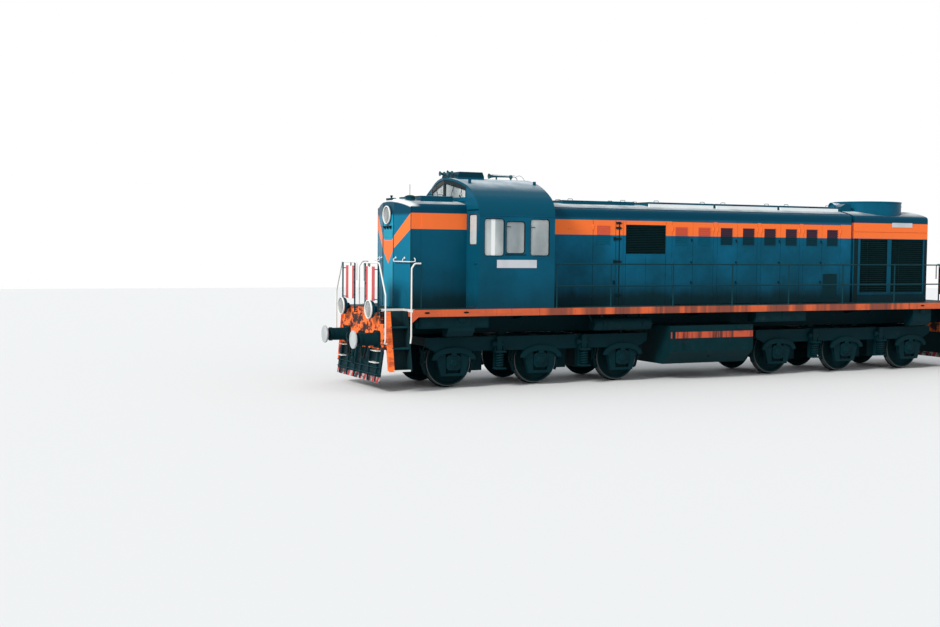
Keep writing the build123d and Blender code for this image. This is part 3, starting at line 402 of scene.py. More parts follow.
def body_paint(name, band=None, deep=0.0, vents=None, pale_top_from=(0.93, 0.995), low_dark_part=0.62, top=DUST,
               dark=None, dark_tone=SCREEN_SHADE, pale=None):
    finish = Finish(name, "blue_paint")
    faded = finish.noise(0.9, 5.0, 0.6).rise(0.35, 0.68)
    fine = finish.noise(23.0, 4.0)
    teal = finish.mix(faded * 0.75 + fine * 0.15, TEAL_DEEP, TEAL)
    nose = finish.x.rise(-7.315, -7.345)
    if deep:
        teal = finish.mix(deep, teal, TEAL_DEEP)
    if band:
        # The nose's faces take a lighter teal, a painted sunlit tone, lightest on the flat middle face.
        teal = finish.mix(nose * (1 - faded * 0.35), teal, TEAL_NOSE_SUNLIT)
        teal = finish.mix(nose * abs(finish.y).rise(0.324, 0.320) * (1 - faded * 0.2), teal, TEAL_CENTRE_SUNLIT)
        # The short hood's sides are made darker, in the teal here and in the orange below.
        teal = finish.mix(finish.x.between(-7.34, -6.05, 0.004) * 0.72, teal, TEAL_DEEP)
        # Above the band, where the side curves in to the roof, a painted shade darkens the teal.
        teal = finish.mix(finish.z.rise(3.60 + RAIL, 3.68 + RAIL), teal, TEAL_SHOULDER_SHADE)
        worn = finish.noise(5.0, 8.0, 0.75).rise(0.60, 0.78).most(finish.x.between(-7.30, -6.05, 0.02) * 0.25)
        orange = finish.mix(worn * 0.55 + fine * 0.12, ORANGE, ORANGE_WORN)
    coat = finish.mix(band(finish), teal, orange) if band else teal
    if vents:
        sunk = vents(finish)
        painted, high = finish.x.rise(0.32, 0.30), finish.z.rise(3.27 + RAIL, 3.275 + RAIL)
        # Open vents are near black, a painted shade for the dark behind their slats; painted-over vents keep
        # teal below and orange in the band.
        hollow_shade = finish.mix(high, (0.001, 0.026, 0.040), (0.045, 0.022, 0.036))
        closed = finish.mix(high, (0.001, 0.072, 0.125), (0.56, 0.085, 0.045))
        coat = finish.mix(sunk, coat, finish.mix(painted, hollow_shade, closed))
    if dark:
        coat = finish.mix(dark(finish), coat, dark_tone)
    dirt = streaked_dirt(finish, 3.1, 1.62)
    # Besides the streaked dirt, the paint gets darker towards the deck, less so on the nose.
    low_dark = finish.z.rise(2.25 + RAIL, 1.70 + RAIL)
    dirt_and_low_dark = (dirt * (0.35 + low_dark_part * 0.65) + low_dark * low_dark_part).least(0.93)
    coat = finish.mix(dirt_and_low_dark * (1 - nose * 0.75), coat, DIRT_AND_LOW_DARK)
    # Faces under the sky turn pale: dust, and where the tone is SKY_PALE a painted sky reflection; on the
    # nose, faces that slope up get a painted highlight too.
    pale_top = facing_up(finish, *pale_top_from) * (finish.noise(2.3, 6.0).rise(0.25, 0.7) * 0.5 + 0.5)
    if band:
        pale_top = pale_top.most(facing_up(finish, 0.15, 0.50) * finish.x.rise(-7.10, -7.30))
    coat = finish.mix(pale_top * 0.9, coat, top)
    if pale:
        coat = finish.mix(pale(finish), coat, SKY_PALE)
    chips = finish.noise(31.0, 3.0, 0.7).rise(0.735, 0.76)
    coat = finish.mix(chips * 0.6, coat, (0.02, 0.03, 0.035))
    dents, skin = finish.noise(1.6, 2.0), finish.noise(120.0, 2.0)
    finish.coat(Base_Color=coat, Roughness=dirt * 0.35 + pale_top * 0.25 + fine * 0.12 + 0.27,
                Normal=finish.bump(dents + skin * 0.004, 0.012, 0.5), Specular_IOR_Level=PAINT_GLOSS)
    return finish


BODY = body_paint("banded_body_paint", orange_band, top=SKY_PALE)
BODY_DOORS = body_paint("door_paint", orange_band, vents=sunk_vents)
VENT_PAINT = body_paint("vent_paint", vents=everywhere)
CAB_PAINT = body_paint("cab_paint", deep=0.5, low_dark_part=0.2, dark=shade_round_screen)
ROOF_PAINT = body_paint("roof_paint", deep=1.0, pale_top_from=(0.86, 0.985), top=(0.60, 0.67, 0.72),
                        dark=air_box, dark_tone=DARK_TEAL, pale=hatch_sides)
# Faces that look up even a little take SKY_PALE: a painted sky reflection on the hatch edges, the eave strips
# and the exhaust cowl.
PALE_EDGE = body_paint("pale_edge_paint", pale_top_from=(0.3, 0.6), top=SKY_PALE)
print("body paints:", BODY.name, BODY_DOORS.name, CAB_PAINT.name, ROOF_PAINT.name)

# %% [markdown]
# ## Underframe, running gear and the rest
# Below the deck everything is oil, brake dust and old paint in nearly the same dark tone. What tells the
# parts apart there is gloss and a little rust, so these finishes vary their roughness and bump more than
# their colour.

# %% Dark, steel and small finishes


def dark_metal(name, slot, base=UNDERFRAME, rust=0.25, rough=0.5, grain=0.004):
    finish = Finish(name, slot)
    blotch = finish.noise(3.2, 6.0, 0.65)
    fine = finish.noise(48.0, 5.0, 0.7)
    rusty = finish.noise(6.0, 7.0, 0.7).rise(0.56, 0.74) * rust
    coat = finish.mix(blotch, base, tuple(c * 2.0 + 0.0004 for c in base))
    coat = finish.mix(rusty, coat, RUST)
    # Faces that look up are paler with dust.
    pale_top = facing_up(finish) * blotch
    coat = finish.mix(pale_top * 0.35, coat, (0.05, 0.075, 0.078))
    finish.coat(Base_Color=coat, Roughness=blotch * 0.35 + fine * 0.15 + (rough - 0.22),
                Normal=finish.bump(fine + blotch, grain, 0.6), Specular_IOR_Level=PAINT_GLOSS)
    return finish


def white_paint(name, rust=0.35):
    finish = Finish(name, "white_paint")
    fine = finish.noise(18.0, 7.0, 0.7)
    chips = fine.rise(0.62, 0.70) * rust
    coat = finish.mix(finish.noise(4.0, 4.0) * 0.35, OFF_WHITE, (0.42, 0.44, 0.43))
    coat = finish.mix(chips, coat, (0.10, 0.06, 0.045))
    finish.coat(Base_Color=coat, Roughness=fine * 0.3 + 0.3, Normal=finish.bump(fine, 0.001, 0.5))
    return finish


FRAME = dark_metal("underframe_paint", "frame_black")
RAILING = dark_metal("railing_paint", "frame_black", base=(0.003, 0.024, 0.032), rust=0.1, rough=0.45,
                     grain=0.001)
GRILLE = dark_metal("grille_paint", "frame_black", base=(0.002, 0.011, 0.013), rust=0.05, rough=0.5,
                    grain=0.001)
RUNNING = dark_metal("oily_casting", "running_gear", base=(0.0008, 0.013, 0.017), rust=0.12, rough=0.5)
WHEEL = dark_metal("dusty_wheel", "wheel_steel", base=(0.001, 0.011, 0.014), rust=0.12, rough=0.6)
ENGINE = dark_metal("machinery_grey", "engine_grey", base=(0.10, 0.11, 0.11), rust=0.1, rough=0.45)
CAB_GREY = dark_metal("cab_furniture", "cab_grey", base=(0.16, 0.18, 0.17), rust=0.0, rough=0.5, grain=0.001)
HOSE = dark_metal("hose_rubber", "hose_rubber", base=(0.008, 0.009, 0.010), rust=0.0, rough=0.65, grain=0.002)
SEAL = dark_metal("seal_rubber", "hose_rubber", base=(0.004, 0.006, 0.007), rust=0.0, rough=0.55,
                  grain=0.0005)
TREAD = dark_metal("rolled_tread", "wheel_steel", base=(0.075, 0.08, 0.08), rust=0.05, rough=0.36,
                   grain=0.0005)
TREAD.coat(Metallic=0.9)
HORN = dark_metal("horn_brass", "brass_horn", base=(0.020, 0.060, 0.075), rust=0.1, rough=0.4, grain=0.0005)
WHITE = white_paint("handrail_white")
print("finishes made:", len(bpy.data.materials))

# %% [markdown]
# ## Finishes that change along one part
# The deck plate, the tank and the buffer beam are each one solid in the frame, but carry two or three
# paints. The same rules of place that drew the band choose between those paints here.

# %% Deck, tank, rail guard and stairs
DECK_TOP = 1.68 + RAIL


def two_paints(name, slot, under, mask_of, over, rough=0.45, change=0.5, bare=(0.69, 0.76)):
    """A dark finish with a second paint where the rule says so."""
    finish = dark_metal(name, slot, base=under)
    mask = mask_of(finish)
    patches = finish.noise(3.4, 8.0, 0.72, stretch=(0.5, 1.0, 1.6))
    second = over(finish, patches)
    dark = Wire(finish, finish.shader.inputs["Base Color"].links[0].from_socket)
    finish.coat(Base_Color=finish.mix(mask * (1 - patches.rise(*bare) * change), dark, second))
    return finish


def sill_face(finish):
    """1 on the outer faces of the sills, under the plate that one walks on."""
    along, out = abs(finish.x), abs(finish.y)
    below = finish.z.rise(DECK_TOP - 0.0005, DECK_TOP - 0.002)
    side, end = out.rise(1.508, 1.509) * below, along.rise(7.505, 7.508) * out.rise(1.20, 1.21) * below
    return side.most(end).most(along.rise(8.048, 8.0495))


def sill_colour(finish, patches):
    lengths = finish.noise(1.0, 3.0, 0.6, stretch=(1.3, 0.0, 0.0)).rise(0.46, 0.58)
    fresh = lengths.most(finish.x.rise(-4.3, -4.5) * 0.9).most(finish.x.rise(5.5, 5.8) * 0.9)
    stripes = finish.noise(1.0, 7.0, 0.75, stretch=(7.0, 0.4, 0.3)).rise(0.54, 0.66)
    orange = finish.mix(fresh, (0.23, 0.066, 0.044), (0.66, 0.125, 0.044))
    orange = finish.mix(patches.rise(0.42, 0.66) * 0.4, orange, (0.30, 0.075, 0.045))
    return finish.mix(stripes * 0.7, orange, (0.115, 0.045, 0.045))


DECK = two_paints("deck_and_sill", "frame_black", (0.004, 0.018, 0.022), sill_face, sill_colour)


def tank_stripe(finish):
    """1 on the stripe along the tank and on the short piece before it."""
    lengths = finish.x.between(-1.026, 1.148).most(finish.x.between(-1.160, -1.112))
    return finish.z.between(0.945 + RAIL, 1.088 + RAIL) * lengths * abs(finish.y).rise(1.447, 1.449)


def stripe_colour(finish, patches):
    worn = finish.noise(1.0, 6.0, 0.7, stretch=(6.0, 0.4, 0.3)).rise(0.48, 0.62)
    return finish.mix(worn, (0.52, 0.090, 0.045), (0.10, 0.035, 0.032))


TANK = two_paints("tank_with_stripe", "frame_black", (0.0008, 0.014, 0.018), tank_stripe, stripe_colour,
                  change=0.25)


def guard_face(finish):
    """1 on the beam and on the low striped edge of the guard."""
    stripes = finish.z.rise(0.29 + RAIL, 0.287 + RAIL) * abs(finish.x).rise(8.06, 8.07)
    return finish.z.rise(0.842 + RAIL, 0.845 + RAIL).most(stripes)


def beam_colour(finish, patches):
    """Worn orange on the beam and slanted stripes of pale grey and red below."""
    orange = finish.mix(patches.rise(0.45, 0.64), ORANGE, ORANGE_WORN)
    slant = (finish.y + finish.z * 0.6 + 4.0).wrap(0.12).rise(0.059, 0.061)
    stripes = finish.mix(slant, (0.36, 0.36, 0.35), (0.42, 0.045, 0.05))
    return finish.mix(finish.z.rise(0.6, 0.5), orange, stripes)


BEAM = two_paints("beam_and_guard", "orange_paint", UNDERFRAME, guard_face, beam_colour, change=0.93,
                  bare=(0.47, 0.56))


def stair_front(finish):
    """1 on the front of the stairs, outside the beam."""
    along = abs(finish.x)
    return along.rise(7.928, 7.929) * abs(finish.y).rise(1.2, 1.21) * along.rise(7.929, 7.931)


def stair_colour(finish, patches):
    return finish.mix(patches.rise(0.45, 0.62), ORANGE, ORANGE_WORN)


STAIRS = two_paints("stair_steel", "frame_black", (0.005, 0.018, 0.022), stair_front, stair_colour)
print("two-paint finishes:", DECK.name, TANK.name, BEAM.name, STAIRS.name)

# %% [markdown]
# ## Glass
# The cab's windows look milky: old safety glass with dust on it and a white sky behind the far windows.
# Clear glass would show a dark cab, so a pale, rather rough coat is laid over see-through glass by a mask
# of smeared noise.

# %% Milky window glass


def milky_glass():
    finish = Finish("milky_glass", "window_glass")
    smear = finish.noise(2.4, 5.0, 0.6, stretch=(1.0, 1.0, 0.5))
    wiped = finish.noise(0.9, 2.0, stretch=(1.6, 1.6, 0.3))
    tone = finish.mix(wiped.rise(0.38, 0.62), (0.30, 0.35, 0.37), (0.62, 0.66, 0.66))
    upright = finish.x.between(-5.765, -5.665, 0.012) * abs(finish.y).rise(1.48, 1.50)
    tone = finish.mix(upright * 0.85, tone, (0.84, 0.86, 0.86))
    finish.coat(Base_Color=tone, Roughness=smear * 0.15 + 0.05,
                Alpha=(smear.rise(0.2, 0.75) * 0.32 + 0.52).most(upright * 0.95), Specular_IOR_Level=0.6)
    return finish


GLASS = milky_glass()
print("glass:", GLASS.name)

# %% [markdown]
# ## Dressing the frame
# Each node of the frame takes the finish that its real part has. A node that is missing from the table
# stops the script at once, so nothing is left in plain grey by mistake.

# %% Give every node its finish
FINISHES = {
    BODY: ["short_hood", "hood_roof", "hood_panels", "radiator_hood"],
    CAB_PAINT: ["cab_end_walls", "cab_side_walls", "cab_door_front", "cab_door_rear", "headlamps",
                "fan_drum"],
    ROOF_PAINT: ["cab_roof", "roof_fittings"],
    BODY_DOORS: [f"engine_door_{n}" for n in range(1, 17)],
    FRAME: ["main_frame"],
    RAILING: ["side_handrails", "rail_posts", "end_railings"],
    GRILLE: ["louvres", "fan_rotor"],
    RUNNING: ["pivot_pins", "buffers", "couplings",
              *(f"{part}_{end}" for part in ("bogie_frame", "spring_gear", "traction_motors")
                for end in ("front", "rear"))],
    WHEEL: [f"wheelset_{n}" for n in range(1, 7)],
    ENGINE: ["engine_block"],
    CAB_GREY: ["control_desk", "cab_seats"],
    HOSE: ["brake_hoses"],
    HORN: ["horns"],
    WHITE: ["grab_rails"],
    DECK: ["deck"],
    TANK: ["fuel_tank"],
    BEAM: ["buffer_beams"],
    STAIRS: ["end_stairs"],
    GLASS: ["cab_windows"],
}
for finish, names in FINISHES.items():
    for name in names:
        mesh = nodes[name].data
        mesh.materials.clear()
        mesh.materials.append(finish.material)
missing = set(nodes) - {name for names in FINISHES.values() for name in names}
assert not missing, missing
print("nodes with a finish:", sum(len(names) for names in FINISHES.values()))

# %% [markdown]
# ## Making pieces
# The small pieces are turned, bent or cut from bar and plate, as the real ones are. Blender's own
# primitives would need to be moved and scaled one by one. A form that collects points at their real places
# makes a whole row of bolts or a bent rail as one mesh, which then gets its bevel, its finish and the body
# that it rides on in one call. Most of the vehicle is the same at both ends and on both sides, so a form
# can be flipped, and each thing is written once, for +X and +Y.

# %% Form, a mesh in the making
UP, OUT, ALONG = (0, 0, 1), (0, 1, 0), (1, 0, 0)
ENDS, SIDES = ((-1, 1), (1, 1)), ((1, -1), (1, 1))
CORNERS = ((-1, -1), (-1, 1), (1, -1), (1, 1))


def around(count, start=0.0):
    """Angles that share a full turn evenly."""
    return [start + 2 * math.pi * k / count for k in range(count)]


def rounded(points, bend, steps=6):
    """The points of a path whose corners are rounded to a radius, as a pipe bender leaves them."""
    points = [Vector(p) for p in points]
    if not bend:
        return points
    path = [points[0]]
    for before, corner, after in zip(points, points[1:], points[2:]):
        into, out = (before - corner), (after - corner)
        angle = math.pi - into.angle(out)
        cut = min(bend * math.tan(angle / 2), 0.48 * into.length, 0.48 * out.length)
        start, end = corner + into.normalized() * cut, corner + out.normalized() * cut
        for k in range(steps + 1):
            t = k / steps
            path.append(start * (1 - t) ** 2 + corner * 2 * t * (1 - t) + end * t * t)
    return [*path, points[-1]]


def rounded_loop(corners, bend):
    """A closed outline with rounded corners; it starts in the middle of its first side."""
    corners = [Vector(c) for c in corners]
    start = (corners[0] + corners[1]) / 2
    return rounded([start, *corners[1:], corners[0], start], bend)[:-1]


def rectangle(a0, a1, b0, b1):
    return [(a0, b0), (a1, b0), (a1, b1), (a0, b1)]


def clipped(a0, a1, b0, b1, cut, rise=None):
    """A rectangle without its corners."""
    rise = rise or cut
    return [(a0 + cut, b0), (a1 - cut, b0), (a1, b0 + rise), (a1, b1 - rise),
            (a1 - cut, b1), (a0 + cut, b1), (a0, b1 - rise), (a0, b0 + rise)]


class Form:
    """Solids that end up in one piece, every point at its place on the locomotive."""

    def __init__(self, flip=(1, 1)):
        self.points, self.faces, self.flip = [], [], flip

    def flipped(self, point):
        x, y, z = point
        return Vector((self.flip[0] * x, self.flip[1] * y, z))

    def add(self, points, faces):
        start = len(self.points)
        self.points += points
        self.faces += [[start + i for i in face] for face in faces]
        return self

    def prism(self, outline, along):
        """An outline pushed along a vector."""
        n = len(outline)
        near, along = [self.flipped(p) for p in outline], self.flipped(along)
        sides = [(i, (i + 1) % n, n + (i + 1) % n, n + i) for i in range(n)]
        return self.add([*near, *(p + along for p in near)], [range(n), range(n, 2 * n), *sides])

    def box(self, x0, x1, y0, y1, z0, z1):
        return self.prism([(x, y, z0) for x, y in rectangle(x0, x1, y0, y1)], (0, 0, z1 - z0))

    def side_plate(self, x, y, z, outline, thickness):
        """A plate along the locomotive, its outline (along, up) from a place, its thickness outwards."""
        return self.prism([(x + a, y, z + b) for a, b in outline], (0, thickness, 0))

    def end_plate(self, x, y, z, outline, thickness):
        """A plate across the locomotive, its outline (across, up) from a place."""
        return self.prism([(x, y + a, z + b) for a, b in outline], (thickness, 0, 0))

    def rings(self, rows, closed=False):
        """Skins a list of equal rings; the ends are capped unless the list closes on itself."""
        n = len(rows[0])
        count = len(rows) if closed else len(rows) - 1
        faces = []
        for here, there in ((r * n, (r + 1) % len(rows) * n) for r in range(count)):
            faces += [(here + k, here + (k + 1) % n, there + (k + 1) % n, there + k) for k in range(n)]
        if not closed:
            faces += [range(n), range((len(rows) - 1) * n, len(rows) * n)]
        return self.add([Vector(p) for row in rows for p in row], faces)

    def turned(self, centre, axis, profile, sides=40, closed=False):
        """Rows of (distance along the axis, radius) turned about it, as on a lathe."""
        centre, axis = self.flipped(centre), self.flipped(axis).normalized()
        side = axis.orthogonal().normalized()
        spokes = [side * math.cos(t) + axis.cross(side) * math.sin(t) for t in around(sides)]
        rows = [[centre + axis * along + spoke * radius for spoke in spokes] for along, radius in profile]
        return self.rings(rows, closed)

    def tube(self, points, radius, bend=0.0, sides=12, closed=False):
        """A round bar or pipe along a path."""
        path = rounded([self.flipped(p) for p in points], bend)
        if closed:
            path = path[:-1]
        rows, side = [], None
        for i, here in enumerate(path):
            ahead_of = path[(i + 1) % len(path)] if closed or i + 1 < len(path) else here
            behind = path[i - 1] if closed or i else here
            way = (ahead_of - behind).normalized()
            side = (side - way * side.dot(way)).normalized() if side else way.orthogonal().normalized()
            rows.append([here + (side * math.cos(t) + way.cross(side) * math.sin(t)) * radius
                         for t in around(sides)])
        return self.rings(rows, closed)

    def bolts(self, places, axis, radius, height):
        """Hexagon heads on their washers."""
        for place in places:
            self.turned(place, axis, [(0, radius * 1.4), (0.003, radius * 1.4), (0.003, radius * 1.2)], 12)
            self.turned(place, axis, [(0.002, radius), (height * 0.8, radius), (height, radius * 0.8)], 6)

    def build(self, name, finish, body="carbody", bevel=0.0):
        mesh = bpy.data.meshes.new(name)
        mesh.from_pydata([tuple(p) for p in self.points], [], [tuple(f) for f in self.faces])
        shape = bmesh.new()
        shape.from_mesh(mesh)
        bmesh.ops.remove_doubles(shape, verts=shape.verts, dist=1e-6)
        bmesh.ops.recalc_face_normals(shape, faces=shape.faces)
        shape.to_mesh(mesh)
        shape.free()
        mesh.shade_smooth()
        mesh.set_sharp_from_angle(angle=math.radians(38))
        mesh.materials.append(finish.material)
        piece = bpy.data.objects.new(name, mesh)
        bpy.context.scene.collection.objects.link(piece)
        if bevel:
            edge = piece.modifiers.new("edges", "BEVEL")
            edge.width, edge.segments, edge.limit_method = bevel, 2, "ANGLE"
            edge.angle_limit = math.radians(40)
            edge.harden_normals = True
        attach(piece, body)
        return piece


def forms(count, flip=(1, 1)):
    return [Form(flip) for _ in range(count)]


def mirrored(places, *made):
    """Flips the forms to each end, side or corner in turn, and back when all are done."""
    for flip in (*places, None):
        for form in made:
            form.flip = flip or (1, 1)
        if flip:
            yield flip


print("forms ready")

# %% [markdown]
# ## Wheelsets
# A real wheelset is turned steel: hub, dished web, rim, flange, and a tread that the rail keeps bright. The
# frame's wheels have flat sides to stay light. A lathe profile turned in 64 steps gives the true section,
# and the tread is a ring of its own so that it can shine while the web stays covered in brake dust.

# %% Turn the wheelsets
AXLE_Z = 0.525 + RAIL
PIVOTS = {"front": -4.3, "rear": 4.3}
AXLE_OFFSETS, SPRING_OFFSETS = (-2.1, 0.0, 2.1), (-1.05, 1.05)
AXLES = [pivot + offset for pivot in PIVOTS.values() for offset in AXLE_OFFSETS]
WHEEL_PROFILE = [
    # along the axle, radius
    (0.0, 0.084), (0.60, 0.084), (0.64, 0.105), (0.65, 0.148), (0.70, 0.156), (0.725, 0.20), (0.742, 0.30),
    (0.735, 0.42), (0.705, 0.452), (0.684, 0.460), (0.680, 0.475), (0.680, 0.535), (0.686, 0.549),
    (0.695, 0.553), (0.704, 0.549), (0.712, 0.535), (0.722, 0.527), (0.740, 0.525), (0.805, 0.5225),
    (0.815, 0.515), (0.815, 0.470), (0.808, 0.458), (0.785, 0.450), (0.770, 0.425), (0.774, 0.30),
    (0.768, 0.20), (0.790, 0.160), (0.826, 0.152), (0.832, 0.145), (0.836, 0.080), (0.84, 0.064),
    (1.08, 0.062), (1.085, 0.055),
]
TREAD_PROFILE = [(0.7125, 0.5355), (0.722, 0.5276), (0.740, 0.5255), (0.805, 0.5230), (0.8155, 0.5150),
                 (0.8155, 0.505), (0.7125, 0.505)]
LIFTING_HOLE = [(-0.002, 0.045), (0.004, 0.043), (0.005, 0.034), (-0.001, 0.030)]
for number, x in enumerate(AXLES, 1):
    wheels, treads = forms(2)
    for _ in mirrored(SIDES, wheels, treads):
        wheels.turned((x, 0, AXLE_Z), OUT, WHEEL_PROFILE, 64)
        treads.turned((x, 0, AXLE_Z), OUT, TREAD_PROFILE, 64, closed=True)
        for turn in around(6, math.radians(30)):
            hole = (x + 0.30 * math.cos(turn), 0.7725, AXLE_Z + 0.30 * math.sin(turn))
            wheels.turned(hole, OUT, LIFTING_HOLE, 20)
    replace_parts(wheels.build(f"turned_wheels_{number}", WHEEL, f"axle_{number}"), f"wheelset_{number}")
    treads.build(f"bright_treads_{number}", TREAD, f"axle_{number}")
print("wheelsets:", len(AXLES))

# %% [markdown]
# ## Axle boxes, beams and springs
# Each axle turns in a cast box with a bolted round cover, under an arched beam that hands the load to coil
# springs. The frame holds the springs as stacks of cones. A real coil is one round bar along a helix, so
# that is what is built.

# %% Axle boxes with their beams, and the coil springs
BOX_HALF = 0.16
BOX_PLATE = clipped(-BOX_HALF, BOX_HALF, -BOX_HALF, BOX_HALF, 0.045)
BEAM_Z = AXLE_Z + BOX_HALF + 0.024
SPRING_LOW, SPRING_HIGH, SPRING_Y = 0.395 + RAIL, 0.725 + RAIL, 1.165
COIL_TURNS, COIL_STEPS, COIL_RADIUS, COIL_WIRE = 5.5, 20, 0.072, 0.0165
BOX_COVER = [(0, 0.128), (0.012, 0.128), (0.016, 0.122), (0.018, 0.085), (0.030, 0.078), (0.034, 0.070),
             (0.035, 0.030), (0.030, 0.026)]
BEAM_FOOT = [(0, 0.04), (0.056, 0.04), (0.06, 0.035)]


def arch(half, rise, steps=14):
    """An arch over the feet of a beam, as distance along and height."""
    return [(half * math.cos(math.pi * k / steps), BEAM_Z - 0.12 + rise * math.sin(math.pi * k / steps))
            for k in range(steps + 1)]


def coil(x, sy):
    """The middle of a spring's wire; both sides wind the same way, so the flip is taken out again."""
    steps = int(COIL_TURNS * COIL_STEPS)
    low, high = SPRING_LOW + COIL_WIRE, SPRING_HIGH - COIL_WIRE
    turns = [2 * math.pi * k / COIL_STEPS for k in range(steps + 1)]
    return [(x + COIL_RADIUS * math.cos(t), SPRING_Y + sy * COIL_RADIUS * math.sin(t),
             low + (high - low) * k / steps) for k, t in enumerate(turns)]


for end, pivot in PIVOTS.items():
    boxes, beams, springs, covers = forms(4)
    for _, sy in mirrored(SIDES, boxes, beams, springs, covers):
        for x in (pivot + offset for offset in AXLE_OFFSETS):
            boxes.side_plate(x, 0.925, AXLE_Z, BOX_PLATE, 0.165)
            covers.turned((x, 1.085, AXLE_Z), OUT, BOX_COVER, 36)
            covers.bolts([(x + 0.106 * math.cos(t), 1.102, AXLE_Z + 0.106 * math.sin(t))
                          for t in around(8, math.radians(22.5))], OUT, 0.011, 0.012)
            beams.side_plate(x, 1.068, 0, [*arch(0.51, 0.262), *reversed(arch(0.40, 0.150))], 0.048)
            beams.box(x - 0.06, x + 0.06, 1.062, 1.112, AXLE_Z + BOX_HALF - 0.01, BEAM_Z + 0.05)
            for foot in (-0.455, 0.455):
                beams.turned((x + foot, 1.06, BEAM_Z - 0.085), OUT, BEAM_FOOT, 20)
        for x in (pivot + offset for offset in SPRING_OFFSETS):
            springs.tube(coil(x, sy), COIL_WIRE, sides=10)
            springs.turned((x, SPRING_Y, SPRING_LOW), UP, [(0, 0.05), (SPRING_HIGH - SPRING_LOW, 0.05)], 16)
    for name, form, bevel in (("axle_boxes", boxes, 0.008), ("arched_beams", beams, 0.005),
                              ("coil_springs", springs, 0.0), ("box_covers", covers, 0.0)):
        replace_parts(form.build(f"{name}_{end}", RUNNING, f"bogie_{end}", bevel), f"spring_gear_{end}")
print("bogies dressed: 2")

# %% [markdown]
# ## Brake rigging
# Cast blocks press on both sides of every wheel, hung on links from the bogie frame, with a cylinder and
# rods along the frame. They aren't in the frame's solids because nothing fastens to them; a few cut plates
# and bars make them.

# %% Brake blocks, hangers, cylinders and sand pipes
BLOCK_INNER, BLOCK_OUTER = 0.541, 0.592      # the block's faces, from the axle
BRAKE_CYLINDER = [(0, 0.05), (0.02, 0.075), (0.24, 0.075), (0.26, 0.06), (0.30, 0.03)]


def arc(radius, start, stop, steps=4):
    """Part of a circle, its angles in degrees."""
    turns = [math.radians(start + (stop - start) * k / steps) for k in range(steps + 1)]
    return [(radius * math.cos(t), radius * math.sin(t)) for t in turns]


for end, pivot in PIVOTS.items():
    rigging = Form()
    for _ in mirrored(SIDES, rigging):
        for x, hand in product([pivot + offset for offset in AXLE_OFFSETS], (-1, 1)):
            for low, high in ((-26, -2), (2, 26)):
                block = [*arc(BLOCK_INNER, low, high), *arc(BLOCK_OUTER, high, low)]
                rigging.side_plate(x, 0.73, AXLE_Z, [(hand * a, b) for a, b in block], 0.07)
            rigging.tube([(x + hand * 0.62, 0.765, AXLE_Z - 0.06), (x + hand * 0.60, 0.765, AXLE_Z + 0.16),
                          (x + hand * 0.64, 0.765, 0.86)], 0.020, 0.05, 10)
        for x in (pivot + offset for offset in SPRING_OFFSETS):
            rigging.turned((x - 0.16, 1.08, 0.93), ALONG, BRAKE_CYLINDER, 28)
        for hand in (-1, 1):
            x = pivot + hand * 2.72
            rigging.tube([(x - hand * 0.06, 0.90, 1.02), (x + hand * 0.02, 0.84, 0.72),
                          (x - hand * 0.12, 0.77, 0.28)], 0.018, 0.08, 10)
    rigging.build(f"brake_rigging_{end}", RUNNING, f"bogie_{end}", 0.003)
print("brake blocks:", len(AXLES) * 2 * 4)

# %% [markdown]
# ## Buffers, lamps and the front end
# The buffers are turned steel with pale worn heads, and the lamps are pressed drums with a white ring round
# a pale lens. Both ends and sides have the same buffers, and one loop sets every lamp at its place.

# %% Buffers
HEADSTOCK, COUPLING_Z, BUFFER_Y = 8.05, 1.05 + RAIL, 0.875
BUFFER_HEAD = dark_metal("worn_buffer_head", "running_gear", base=(0.27, 0.29, 0.30), rust=0.35, rough=0.5)
CASE_PROFILE = [(0.02, 0.149), (0.05, 0.149), (0.065, 0.138), (0.37, 0.134), (0.375, 0.146), (0.43, 0.146),
                (0.437, 0.138), (0.44, 0.10), (0.50, 0.094), (0.51, 0.10)]
HEAD_PROFILE = [(0.50, 0.10), (0.512, 0.178), (0.520, 0.186), (0.545, 0.188), (0.551, 0.184), (0.557, 0.13),
                (0.5598, 0.05), (0.56, 0.001)]
cases, heads = forms(2)
for _ in mirrored(CORNERS, cases, heads):
    centre = (HEADSTOCK, BUFFER_Y, COUPLING_Z)
    cases.end_plate(*centre, clipped(-0.18, 0.18, -0.18, 0.18, 0.05), 0.026)
    cases.bolts([(HEADSTOCK + 0.026, BUFFER_Y + a, COUPLING_Z + b)
                 for a, b in product((-0.135, 0.135), repeat=2)], ALONG, 0.018, 0.018)
    cases.turned(centre, ALONG, CASE_PROFILE, 48)
    heads.turned(centre, ALONG, HEAD_PROFILE, 56)
for piece in (cases.build("buffer_cases", RUNNING, bevel=0.003), heads.build("buffer_heads", BUFFER_HEAD)):
    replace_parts(piece, "buffers")
print("buffers:", len(CORNERS))

# %% Lamps
LAMP_CASE = dark_metal("lamp_case_paint", "blue_paint", base=(0.002, 0.030, 0.048), rust=0.0, rough=0.4,
                       grain=0.001)


def lens_glass():
    finish = Finish("ribbed_lens", "window_glass")
    ribs = finish.y.wrap(0.011).rise(0.001, 0.006)
    bars = finish.z.wrap(0.032).rise(0.0005, 0.003)
    tone = finish.mix(ribs * bars, (0.055, 0.065, 0.065), (0.17, 0.19, 0.19))
    # Pale patches stand for the reflector behind the glass, a painted reflection.
    tone = finish.mix(finish.noise(7.0, 2.0).rise(0.45, 0.60) * 0.45, tone, (0.32, 0.34, 0.34))
    finish.coat(Base_Color=tone, Roughness=0.12, Coat_Weight=0.8, Coat_Roughness=0.04,
                Normal=finish.bump(ribs * bars, 0.004, 0.8))
    return finish


